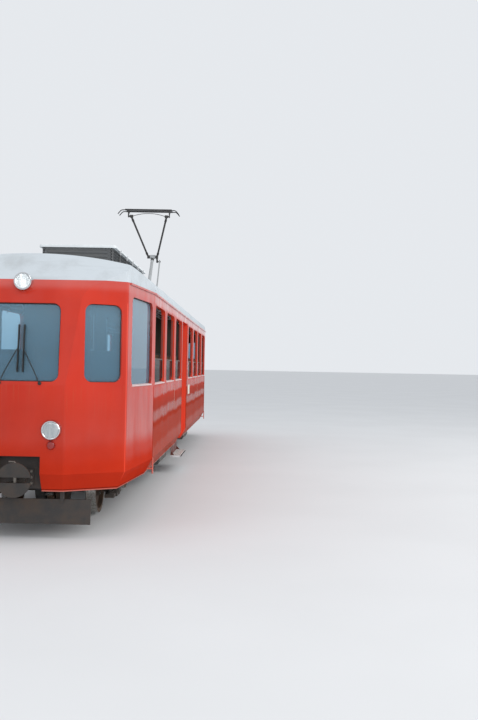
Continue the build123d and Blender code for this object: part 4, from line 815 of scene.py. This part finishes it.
def window_guides():
    p = Piece("window_guides", "sash", "dark_frame")
    width = 0.008
    for x in WINDOWS:
        for start, y in product((x, x + WINDOW_W - width), (PANE_FACE + 0.001, PANE_FACE - 0.015)):
            p.box((start, y, SILL_Z + 0.05), (start + width, y + 0.006, WINDOW_TOP_Z - 0.05), 0.002)
    p.done("y")


def fixed_window_rubbers():
    p = Piece("fixed_window_rubbers", "rubber", "dark_frame")
    depths = (-PANE_DEPTH, -PANE_DEPTH - 0.012)
    for frame_at, x, sill, width, top in CAB_WINDOWS:
        p.at = frame_at
        for depth in depths:
            loop = window_loop(x + 0.003, sill + 0.003, width - 0.006, top - 0.003, depth, 0.087)
            p.tube(loop, 0.005, 6, closed=True)
    p.mirror("y")
    p.at = NOSE_FRAME
    half = NOSE_HALF - 0.085
    for depth in depths:
        p.tube(window_loop(-half, 0.045, 2 * half, 0.895, depth, 0.085), 0.008, 6, closed=True)
    p.done("x")


# Seams and trim of the body
def side_strip(p, x0, x1, proud):
    """A strip down the side from the window sill to the skirt, proud of its skin"""
    bends = (SIDE_Y, SILL_Z - 0.03, 0.0), (SIDE_Y, CREASE_Z, 0.15), (SKIRT_Y, SKIRT_Z + 0.001, 0.0)
    outer, inner = ([(y + out, z - out * drop) for y, z, drop in bends] for out in (proud, -0.002))
    p.prism(outer + inner[::-1], x0, x1)


def body_seams():
    p = Piece("body_joint_strips", "body", "red_paint")
    for x in (-CAB_JOINT, CAB_JOINT):
        side_strip(p, x - 0.016, x + 0.010, 0.0035)
    p.done("y")


def panel_lines():
    # Thin dark strips at the joints round the doorways and at the saloon ends, a painted shadow of the joint
    # gaps
    p = Piece("panel_lines", "rubber", "dark_frame")
    half, proud = 0.0022, 0.0006
    for x in (SURROUND_REAR, SURROUND_FRONT, SALOON_X - 0.030, -SALOON_X + 0.030):
        side_strip(p, x - half, x + half, proud)
    for x in (SURROUND_REAR, SURROUND_FRONT):
        p.box((x - half, SIDE_Y - 0.002, SILL_Z - 0.031), (x + half, SIDE_Y + proud, GUTTER_Z - 0.001))
    p.done("y")


def side_plates():
    """A blank sign plate beside each doorway, with a rim and a screw at each corner"""
    p = Piece("side_plates", "plate", "red_paint")
    x0, x1, z0, z1 = SURROUND_FRONT + 0.150, SURROUND_FRONT + 0.550, SILL_Z - 0.315, SILL_Z - 0.135
    y = SIDE_Y + 0.003
    p.box((x0, SIDE_Y - 0.001, z0), (x1, y, z1), 0.001)
    rim = [(x0, y, z0), (x1, y, z0), (x1, y, z1), (x0, y, z1)]
    p.tube(rounded(rim, 0.02, closed=True), 0.004, 6, closed=True)
    for x, z in product((x0 + 0.022, x1 - 0.022), (z0 + 0.022, z1 - 0.022)):
        p.lathe([(0.0, 0.006), (0.002, 0.005), (0.003, 0.002)], (x, y, z), (0, 1, 0), 10)
    p.done("y")


def drain_ends():
    """Lower ends of the rain pipes, which come out of the sides at the joints of the cabs"""
    p = Piece("drain_ends", "pipe_red", "red_paint")
    x, y = CAB_JOINT, SIDE_Y + 0.002
    path = [(x, y - 0.030, CREASE_Z + 0.020), (x, y, CREASE_Z + 0.005), (x, y, SKIRT_Z + 0.004)]
    p.tube(rounded(path, 0.02), 0.0105, 12)
    p.box((x - 0.016, SIDE_Y - 0.075, SKIRT_Z + 0.060), (x + 0.016, y + 0.003, SKIRT_Z + 0.078), 0.002)
    p.done("yx")


def sheet_joints():
    """A pale upright joint in the side sheets below the sill"""
    p = Piece("sheet_joints", "seam", "red_paint")
    x = SALOON_X - 2.880
    p.box((x - 0.004, SIDE_Y - 0.001, SILL_Z - 0.48), (x + 0.004, SIDE_Y + 0.003, SILL_Z - 0.08), 0.001)
    p.done("yx")


# Doorway: edges and fittings of the leaves, ribs of the steps, thresholds
def door_trim():
    """Rubber edges and window rims, kick plates with screws, and handles on the second leaf"""
    for side, sign in (("left", 1.0), ("right", -1.0)):
        outer, inner = sign * DOOR_Y, sign * (DOOR_Y - DOOR_THICKNESS)
        faces = ((outer, sign), (inner, -sign))
        for number, edge, seal, way in (
            (1, PIVOT_X - 0.030, KNUCKLE_X - 0.008, -1.0),
            (2, ROLLER_X + 0.030, KNUCKLE_X + 0.008, 1.0),
        ):
            x0, x1 = sorted((edge, seal))
            name = f"door_{side}_{number}"
            trim = Piece(f"{name}_edges", "rubber", "dark_frame", f"{name}_leaf")
            foot = (edge, sign * (DOOR_Y - DOOR_THICKNESS / 2), LEAF_LOW)
            trim.lathe([(0.0, 0.007), (LEAF_HIGH - LEAF_LOW, 0.007)], foot, UP, 10)
            start = (seal - way * 0.004, inner + sign * 0.006, LEAF_LOW + 0.002)
            trim.box(start, (seal - way * 0.0005, inner + sign * 0.016, LEAF_HIGH - 0.002))
            margin = LEAF_MARGIN + 0.004
            rim = (x0 + margin, LEAF_SILL + 0.004, x1 - x0 - 2 * margin, LEAF_TOP - 0.004)
            inset = sign * 0.0105
            for y in (outer - inset, inner + inset):
                trim.tube(window_loop(*rim, y, 0.086), 0.006, 6, closed=True)
            trim.done()
            metal = Piece(f"{name}_fittings", "aluminium", "bare_aluminium", f"{name}_leaf")
            for y, out in faces:
                plate = y + out * 0.0015
                metal.box((x0 + 0.03, y, LEAF_LOW + 0.02), (x1 - 0.03, plate, LEAF_LOW + 0.24), 0.0005)
                for k, z in product(range(6), (LEAF_LOW + 0.035, LEAF_LOW + 0.225)):
                    at = (x0 + 0.045 + k * (x1 - x0 - 0.09) / 5, plate, z)
                    metal.lathe([(0.0, 0.005), (0.001, 0.0045), (0.002, 0.002)], at, (0, out, 0), 8)
            for y, out in faces if number == 2 else ():
                x, stand, z0, z1 = x1 - 0.050, y + out * 0.034, LEAF_SILL + 0.02, LEAF_SILL + 0.42
                path = [(x, y, z0), (x, stand, z0), (x, stand, z1), (x, y, z1)]
                metal.tube(rounded(path, 0.02), 0.0095, 10)
                for z in (z0, z1):
                    metal.lathe([(0.0, 0.022), (0.004, 0.021), (0.006, 0.012)], (x, y, z), (0, out, 0), 16)
            metal.done()


def step_details():
    p = Piece("step_tread_ribs", "step_rib", "bare_aluminium")
    for i in range(STEP_RIBS):
        y = STEP_IN + (STEP_OUT - STEP_IN) * (i + 0.5) / STEP_RIBS
        start = (DOOR_REAR + 0.014, y - 0.0055, STEP_Z - 0.001)
        p.box(start, (DOOR_FRONT - 0.014, y + 0.0055, STEP_Z + 0.005), 0.0015)
    p.box((DOOR_REAR, STEP_OUT - 0.006, STEP_Z - 0.030), (DOOR_FRONT, STEP_OUT, STEP_Z + 0.005), 0.002)
    p.done("y")


def threshold():
    """Ribs on the floor of the step well, and a strip behind the doors"""
    p = Piece("door_thresholds", "aluminium", "bare_aluminium")
    well, inner = FLOOR_Z - 0.340, DOOR_Y - 0.050
    for y in [inner + 0.075 + i * 0.020 for i in range(6)]:
        start = (DOOR_REAR + 0.002, y - 0.003, well - 0.0005)
        p.box(start, (DOOR_FRONT - 0.002, y + 0.003, well + 0.003), 0.001)
    start = (DOOR_REAR + 0.001, inner - 0.120, FLOOR_Z - 0.001)
    p.box(start, (DOOR_FRONT - 0.001, inner - 0.005, FLOOR_Z + 0.0025), 0.001)
    p.done("y")


# Benches: varnished slats on the curved seats and backs, with a handrail at the aisle
SEAT_Z, BACK_Z = FLOOR_Z + 0.430, FLOOR_Z + 1.120
SEAT_DEPTH, SEAT_DISH, SEAT_ROLL = 0.460, 0.022, 0.020
BACK_HALF, BACK_FOOT, BACK_BULGE = 0.018, 0.060, 0.009
BENCH_IN, BENCH_OUT = 0.260, SIDE_Y - 0.085


def seat_point(t):
    """Distance from the back's middle and height of the seat, from its crown to the front edge"""
    middle, half = (BACK_FOOT + SEAT_DEPTH - SEAT_ROLL) / 2, (SEAT_DEPTH - SEAT_ROLL - BACK_FOOT) / 2
    u = 2 * t - 1
    return middle + half * u, SEAT_Z - SEAT_DISH * (1 - u * u)


def back_point(t):
    """Distance from the back's middle and height of the leaning face, from the seat to its top"""
    out = BACK_FOOT + (BACK_HALF - BACK_FOOT) * t + 4 * BACK_BULGE * t * (1 - t)
    return out, SEAT_Z + (BACK_Z - SEAT_Z) * t


def slat(piece, x, way, face, middle, share):
    """A board laid on a curved face, from one share of it to another"""
    outline = [Vector(face(t)) for t in (middle - share, middle, middle + share)]
    along = (outline[-1] - outline[0]).normalized()
    out = Vector((along.y, -along.x)) if face is back_point else Vector((-along.y, along.x))
    under = [point - out * 0.002 for point in outline]
    over = [point + out * 0.010 for point in outline]
    over[0] += along * 0.003
    over[-1] -= along * 0.003
    piece.prism([(x + way * u, z) for u, z in under + over[::-1]], BENCH_IN + 0.012, BENCH_OUT - 0.012, "y")


def benches():
    wood = Piece("bench_slats", "slat", "bench_wood")
    rails = Piece("bench_handrails", "aluminium", "bare_aluminium")
    for x, ways in BENCHES:
        for way in ways:
            for i in range(6):
                slat(wood, x, way, seat_point, 0.125 + i * 0.155, 0.066)
            for i in range(8):
                slat(wood, x, way, back_point, 0.135 + i * 0.112, 0.047)
        path = ((0.262, 0.66), (0.238, 0.70), (0.238, 1.135), (0.42, 1.135), (0.42, 1.115))
        rails.tube(rounded([(x, y, FLOOR_Z + z) for y, z in path], 0.03), 0.011, 8)
    wood.done("y")
    rails.done("y")


# Inside: luggage racks, lights and grab rails
def luggage_racks():
    p = Piece("luggage_racks", "aluminium", "bare_aluminium")
    z = WINDOW_TOP_Z + 0.055
    for x0, x1 in ((-SALOON_X + 0.15, SURROUND_REAR - 0.06), (SURROUND_FRONT + 0.06, SALOON_X - 0.15)):
        for y, radius in ((0.860, 0.010), (0.930, 0.005), (1.000, 0.005), (1.070, 0.005), (1.140, 0.005)):
            p.rod((x0, y, z), (x1, y, z), radius, 8)
        gaps = int((x1 - x0) / 0.7)
        for x in [x0 + 0.05 + i * (x1 - x0 - 0.1) / gaps for i in range(gaps + 1)]:
            path = [(x, 1.192, z - 0.09), (x, 1.14, z - 0.012), (x, 0.86, z - 0.012)]
            p.tube(rounded(path, 0.03), 0.008, 6)
    p.done("y")


def ceiling_lights():
    p = Piece("ceiling_lights", "diffuser", "lamp_glass")
    z = ROOF_Z - WALL - 0.012
    for x in [-SALOON_X + 0.7 + i * 1.45 for i in range(8)]:
        p.box((x - 0.30, -0.07, z - 0.045), (x + 0.30, 0.07, z), 0.02)
    p.done()


def grab_rails():
    p = Piece("inside_grab_rails", "aluminium", "bare_aluminium")
    for x, y in product((SURROUND_REAR - 0.012, SURROUND_FRONT + 0.012), (0.345, 0.62)):
        p.rod((x, y, FLOOR_Z), (x, y, WINDOW_TOP_Z + 0.1), 0.016, 12)
        p.lathe([(0.0, 0.034), (0.006, 0.034), (0.012, 0.018)], (x, y, FLOOR_Z), UP, 16)
    p.done("y")


# Ends: lamp rims, tail lamps, wipers, coupler pins and bolts
def lamp_rims():
    p = Piece("headlamp_rims", "chrome", "bare_aluminium")
    rim = [(0.0, 0.112), (0.020, 0.112), (0.050, 0.100), (0.053, 0.093), (0.046, 0.086), (0.0, 0.086)]
    rim += rim[:1]
    for y in (-LAMP_Y, LAMP_Y):
        p.lathe(rim, (NOSE_X, y, LAMP_Z), AHEAD, 32)
    rim = [(-0.060, 0.093), (0.0, 0.097), (0.006, 0.090), (0.004, 0.078), (-0.060, 0.078), (-0.060, 0.093)]
    p.lathe(rim, (NOSE_X - 0.048, 0, TOP_LAMP_Z), AHEAD, 32)
    p.done("x")


def tail_lamps():
    p = Piece("tail_lamps", "tail", "lamp_glass")
    lens = [(0.0, 0.045), (0.022, 0.045), (0.034, 0.036), (0.038, 0.012)]
    for y in (-LAMP_Y, LAMP_Y):
        p.lathe(lens, (NOSE_X, y, LAMP_Z - 0.165), AHEAD, 24)
    p.done("x")


def wipers():
    p = Piece("wipers", "rubber", "dark_frame")
    p.at = NOSE_FRAME
    for side in (-1, 1):
        foot, tip = side * 0.22, side * 0.03
        p.lathe([(0.0, 0.020), (0.014, 0.018), (0.020, 0.010)], (foot, 0.0, 0.020), (0, 1, 0), 16)
        p.tube([(foot, 0.016, 0.020), (foot * 0.7, 0.022, 0.16), (tip, 0.018, 0.40)], 0.005, 6)
        p.box((tip - 0.005, -0.030, 0.14), (tip + 0.005, 0.012, 0.66), 0.002)
    p.done("x")


def coupler_details():
    p = Piece("coupler_fittings", "worn", "running_steel")
    x, z = COUPLER_X - 0.060, COUPLER_Z
    p.lathe([(-0.140, 0.019), (0.110, 0.019), (0.112, 0.032), (0.124, 0.032)], (x, 0, z), UP, 20)
    p.tube(rounded([(x, 0, z + 0.12), (x, 0, z + 0.19), (x, 0.07, z + 0.19)], 0.02), 0.009, 8)
    for y, dz in product((-0.120, 0.120), (-0.065, 0.0, 0.065)):
        p.bolt((HEADSTOCK_FRONT + 0.025, y, z + dz), AHEAD, 0.014)
    p.done("x")


# Roof: joint beads, conductor bar to the housing, frames and latches of the housing
CONDUCTOR_Y = 0.25


def roof_beads():
    p = Piece("roof_joint_beads", "body", "roof_paint")
    outline = [(y, max(z, GUTTER_Z + 0.060)) for y, z in roof_line(-0.002) + roof_line(0.004)[::-1]]
    width, pitch = 0.022, 1.63
    for x in [-CAB_JOINT, SALOON_X - width] + [-SALOON_X + pitch * i for i in range(1, 7)]:
        p.prism(outline, x, x + width)
    p.done()


def roof_conductor():
    p = Piece("roof_conductor", "copper", "running_steel")
    y, z = CONDUCTOR_Y, ROOF_Z + 0.130
    start, end = ROOF_BOX_FRONT - 0.01, PAN_FRAME_REAR + 0.02
    p.tube(rounded([(start, y, z), (end - 0.1, y, z), (end, y, z + 0.03)], 0.05), 0.012, 10)
    p.lathe([(0.0, 0.04), (0.012, 0.04), (0.03, 0.022), (0.06, 0.022)], (ROOF_BOX_FRONT, y, z), AHEAD, 20)
    p.done()


def roof_insulators():
    p = Piece("roof_conductor_insulators", "insulator", "insulator")
    foot, height = ROOF_Z - 0.030, 0.148
    profile = [(0.0, 0.045), (0.012, 0.045)]
    for at in [0.02 + k * (height - 0.03) / 3 for k in range(3)]:
        profile += [(at, 0.022), (at + 0.010, 0.040), (at + 0.018, 0.040), (at + 0.026, 0.022)]
    profile += [(height, 0.020)]
    for i in range(5):
        p.lathe(profile, (ROOF_BOX_FRONT + 0.45 + i * 0.88, CONDUCTOR_Y, foot), UP, 20)
    p.done()


def housing_trim():
    p = Piece("roof_housing_frames", "louvre", "dark_frame")
    half = high("roof_box").y
    low_z, high_z = ROOF_Z - 0.012, high("roof_box").z
    length = ROOF_BOX_FRONT - ROOF_BOX_REAR
    width = 0.035
    for x in [ROOF_BOX_REAR + i * (length - width) / 5 for i in range(6)]:
        p.box((x, half - 0.030, low_z - 0.02), (x + width, half + 0.003, high_z), 0.004)
    p.mirror("y")
    for x, way in ((ROOF_BOX_REAR, -1), (ROOF_BOX_FRONT, 1)):
        for z in [low_z + 0.05 + i * 0.055 for i in range(6)]:
            p.box((x, 0.07 - half, z), (x + way * 0.010, half - 0.07, z + 0.035), 0.004)
    p.done()
    p = Piece("roof_housing_latches", "aluminium", "bare_aluminium")
    edge, z = high("roof_box_lid").y, low("roof_box_lid").z
    for x in [ROOF_BOX_REAR + 0.4 + i * (length - 0.8) / 4 for i in range(5)]:
        p.box((x - 0.025, edge - 0.012, z - 0.05), (x + 0.025, edge + 0.004, z + 0.018), 0.003)
        p.lathe([(0.0, 0.012), (0.010, 0.010)], (x, edge + 0.003, z + 0.01), (0, 1, 0), 12)
    p.done("y")


# Pantograph: springs and bolts of its base, clamps on the lower arm and on the tubes of the upper frame
def pantograph_fittings():
    p = Piece("pantograph_base_springs", "worn", "running_steel")
    z = PAN_BASE_Z - 0.075
    for y in (-0.30, 0.30):
        p.coil((PAN_X + 0.34, y, z), (PAN_X + 0.80, y, z), 0.030, 0.007, 22)
        p.rod((PAN_X + 0.28, y, z), (PAN_X + 0.86, y, z), 0.009, 10)
    for x, y in product((PAN_FRAME_REAR + 0.025, PAN_FRAME_FRONT - 0.025), (-0.395, 0.395)):
        p.bolt((x, y, PAN_BASE_Z - 0.040), UP, 0.013)
    p.done()
    p = Piece("pantograph_arm_clamps", "pan_dark", "dark_frame", "lower_arm")
    arm = KNUCKLE - ARM_FOOT
    for share in (0.12, 0.93):
        radius = ARM_FOOT_RADIUS + (ARM_RADIUS - ARM_FOOT_RADIUS) * share + 0.006
        p.lathe([(-0.03, radius), (0.03, radius)], ARM_FOOT + arm * share, arm, 20)
    p.done()
    p = Piece("pantograph_tube_clamps", "pan_dark", "dark_frame", "upper_frame")
    radius = UPPER_TUBE_RADIUS + 0.006
    for side in (-1, 1):
        start = KNUCKLE + Vector((0, side * KNUCKLE_HALF, 0))
        line = PAN_TOP + Vector((0, side * PAN_TOP_HALF, 0)) - start
        for share in (0.08, 0.90):
            p.lathe([(-0.028, radius), (0.028, radius)], start + line * share, line, 16)
    p.done()


# Running gear: springs, axle-box covers, brake cylinders, motor ribs, hub bolts
def bogie_details(end, centre):
    body = f"bogie_{end}"
    springs = Piece(f"{body}_springs", "spring", "running_steel", body)
    covers = Piece(f"{body}_box_covers", "bogie", "dark_frame", body)
    brakes = Piece(f"{body}_brake_cylinders", "bogie", "dark_frame", body)
    cover = [(-0.004, 0.088), (0.010, 0.088), (0.016, 0.082), (0.026, 0.060), (0.030, 0.050)]
    for sign, side in product((-1, 1), (-1, 1)):
        x, y = centre + sign * AXLE_OFFSET, side * FRAME_Y
        for offset in (-0.185, 0.185):
            springs.coil((x + offset, y, AXLE_Z - 0.046), (x + offset, y, AXLE_Z + 0.126), 0.045, 0.0085, 4.5)
        face = side * (FRAME_Y + 0.075)
        covers.lathe(cover, (x, face, AXLE_Z), (0, side, 0), 28)
        reach = 0.074
        for angle in [math.radians(60 * k + 30) for k in range(6)]:
            place = (x + reach * math.cos(angle), face + side * 0.015, AXLE_Z + reach * math.sin(angle))
            covers.bolt(place, (0, side, 0), 0.008)
        for dx in (-0.235, 0.235):
            covers.bolt((x + dx, y, AXLE_Z - 0.060), UP, 0.012)
        inner, z = side * (FRAME_Y - 0.050), AXLE_Z + 0.10
        middle, at = inner - side * 0.060, centre + sign * 0.40
        brakes.lathe([(0.0, 0.052), (0.20, 0.052), (0.21, 0.044)], (at, middle, z), (sign, 0, 0), 20)
        brakes.box((at + sign * 0.05, middle, z - 0.025), (at + sign * 0.15, inner, z + 0.025))
        brakes.rod((at + sign * 0.20, middle, z), (x - sign * 0.375, inner - side * 0.110, z), 0.012)
    motor = Piece(f"{body}_motor_ribs", "motor", "dark_frame", body)
    rib = [(0.0, 0.198), (0.0, 0.207), (0.012, 0.207), (0.012, 0.198), (0.0, 0.198)]
    for sign in (-1, 1):
        x, z = centre + sign * MOTOR_OFFSET, AXLE_Z + 0.070
        for k in range(13):
            motor.lathe(rib, (x, 0.055 - k * 0.029, z), (0, -1, 0), 40)
        motor.box((x - 0.10, -0.22, z + 0.17), (x + 0.10, -0.04, z + 0.235), 0.012)
    for piece in (springs, covers, brakes, motor):
        piece.done()


def axle_details():
    for number, x in enumerate(AXLES, 1):
        p = Piece(f"axle_{number}_hub_bolts", "worn", "running_steel", f"axle_{number}")
        for side in (-1, 1):
            for place in ring(Vector((x, side * (HALF_BACK + 0.125), AXLE_Z)), AHEAD, UP, 0.086, 8):
                p.bolt(place, (0, side, 0), 0.009)
        p.done()


# Below the floor: doors, hinges and latches of the cases, brake pipes
def case_doors():
    doors = Piece("case_doors", "case", "dark_frame")
    locks = Piece("case_latches", "worn", "running_steel")
    width = (CASE_LENGTH - 0.06) / 2
    for (x0, side), k in product(CASES, range(2)):
        face = side * CASE_OUT
        a = x0 + 0.03 + k * width + 0.012
        b = a + width - 0.024
        doors.box((a, face, CASE_LOW + 0.035), (b, face + side * 0.012, CASE_HIGH - 0.03), 0.006)
        for z in [CASE_LOW + 0.10 + i * 0.030 for i in range(5)]:
            doors.box((a + 0.12, face + side * 0.011, z), (b - 0.12, face + side * 0.018, z + 0.012), 0.003)
        for x in (a + (b - a) * 0.2, a + (b - a) * 0.8):
            y, z = face + side * 0.014, CASE_HIGH - 0.035
            locks.rod((x - 0.03, y, z), (x + 0.03, y, z), 0.008, 8)
            at = (x, face + side * 0.011, CASE_LOW + 0.06)
            locks.lathe([(0.0, 0.016), (0.008, 0.014), (0.012, 0.006)], at, (0, side, 0), 12)
    doors.done()
    locks.done()


def brake_pipe():
    p = Piece("brake_pipe", "pipe", "dark_frame")
    y, z = -0.600, UNDERFRAME_Z - 0.016
    p.rod((-2.95, y, z), (2.85, y, z), 0.012, 12)
    for x in (-2.9, -1.6, -0.3, 1.0, 2.3):
        p.box((x - 0.015, y - 0.018, z - 0.014), (x + 0.015, y + 0.018, z + 0.030), 0.003)
    for y in (-0.690, 0.690):
        p.rod((-2.95, y, z - 0.004), (-1.70, y, z - 0.004), 0.010, 12)
    p.done()


window_ledges()
window_sashes()
window_guides()
fixed_window_rubbers()
body_seams()
panel_lines()
side_plates()
drain_ends()
sheet_joints()
door_trim()
step_details()
threshold()
benches()
luggage_racks()
ceiling_lights()
grab_rails()
lamp_rims()
tail_lamps()
wipers()
coupler_details()
roof_beads()
roof_conductor()
roof_insulators()
housing_trim()
pantograph_fittings()
for end in ("front", "rear"):
    bogie_details(end, JOINT[f"bogie_{end}_swivel"][0])
axle_details()
case_doors()
brake_pipe()


# Floor and light
def studio_floor(half, z, color):
    mesh = bpy.data.meshes.new("studio_floor")
    corners = [(-half, -half, z), (half, -half, z), (half, half, z), (-half, half, z)]
    mesh.from_pydata(corners, [], [(0, 1, 2, 3)])
    obj = bpy.data.objects.new("studio_floor", mesh)
    bpy.context.scene.collection.objects.link(obj)
    p = Paint("studio_floor", rough=0.9, specular=0.2)
    p.set(color=p.mix(p.ramp(p.noise(0.4, 3.0), 0.3, 0.7), color, tuple(c * 0.97 for c in color)))
    mesh.materials.append(p.material)


def area_light(name, place, target, size, power, color):
    data = bpy.data.lights.new(name, "AREA")
    data.shape = "RECTANGLE"
    data.size, data.size_y = size
    data.energy, data.color = power, color
    obj = bpy.data.objects.new(name, data)
    obj.location = place
    obj.rotation_euler = (Vector(target) - Vector(place)).to_track_quat("-Z", "Y").to_euler()
    bpy.context.scene.collection.objects.link(obj)


def world_light(color, strength):
    world = bpy.data.worlds.new("studio")
    world.use_nodes = True
    background = world.node_tree.nodes["Background"]
    background.inputs["Color"].default_value = (*color, 1.0)
    background.inputs["Strength"].default_value = strength
    bpy.context.scene.world = world


studio_floor(420.0, -0.002, (0.72, 0.73, 0.74))
world_light((0.93, 0.96, 1.0), 0.85)
area_light("key_light", (-6.0, -16.0, 14.0), (0.0, 0.0, 1.5), (16.0, 10.0), 1500.0, (1.0, 0.98, 0.95))
area_light("end_light", (-24.0, -7.0, 6.0), (-1.0, -1.0, 2.0), (8.0, 6.0), 900.0, (1.0, 0.98, 0.96))
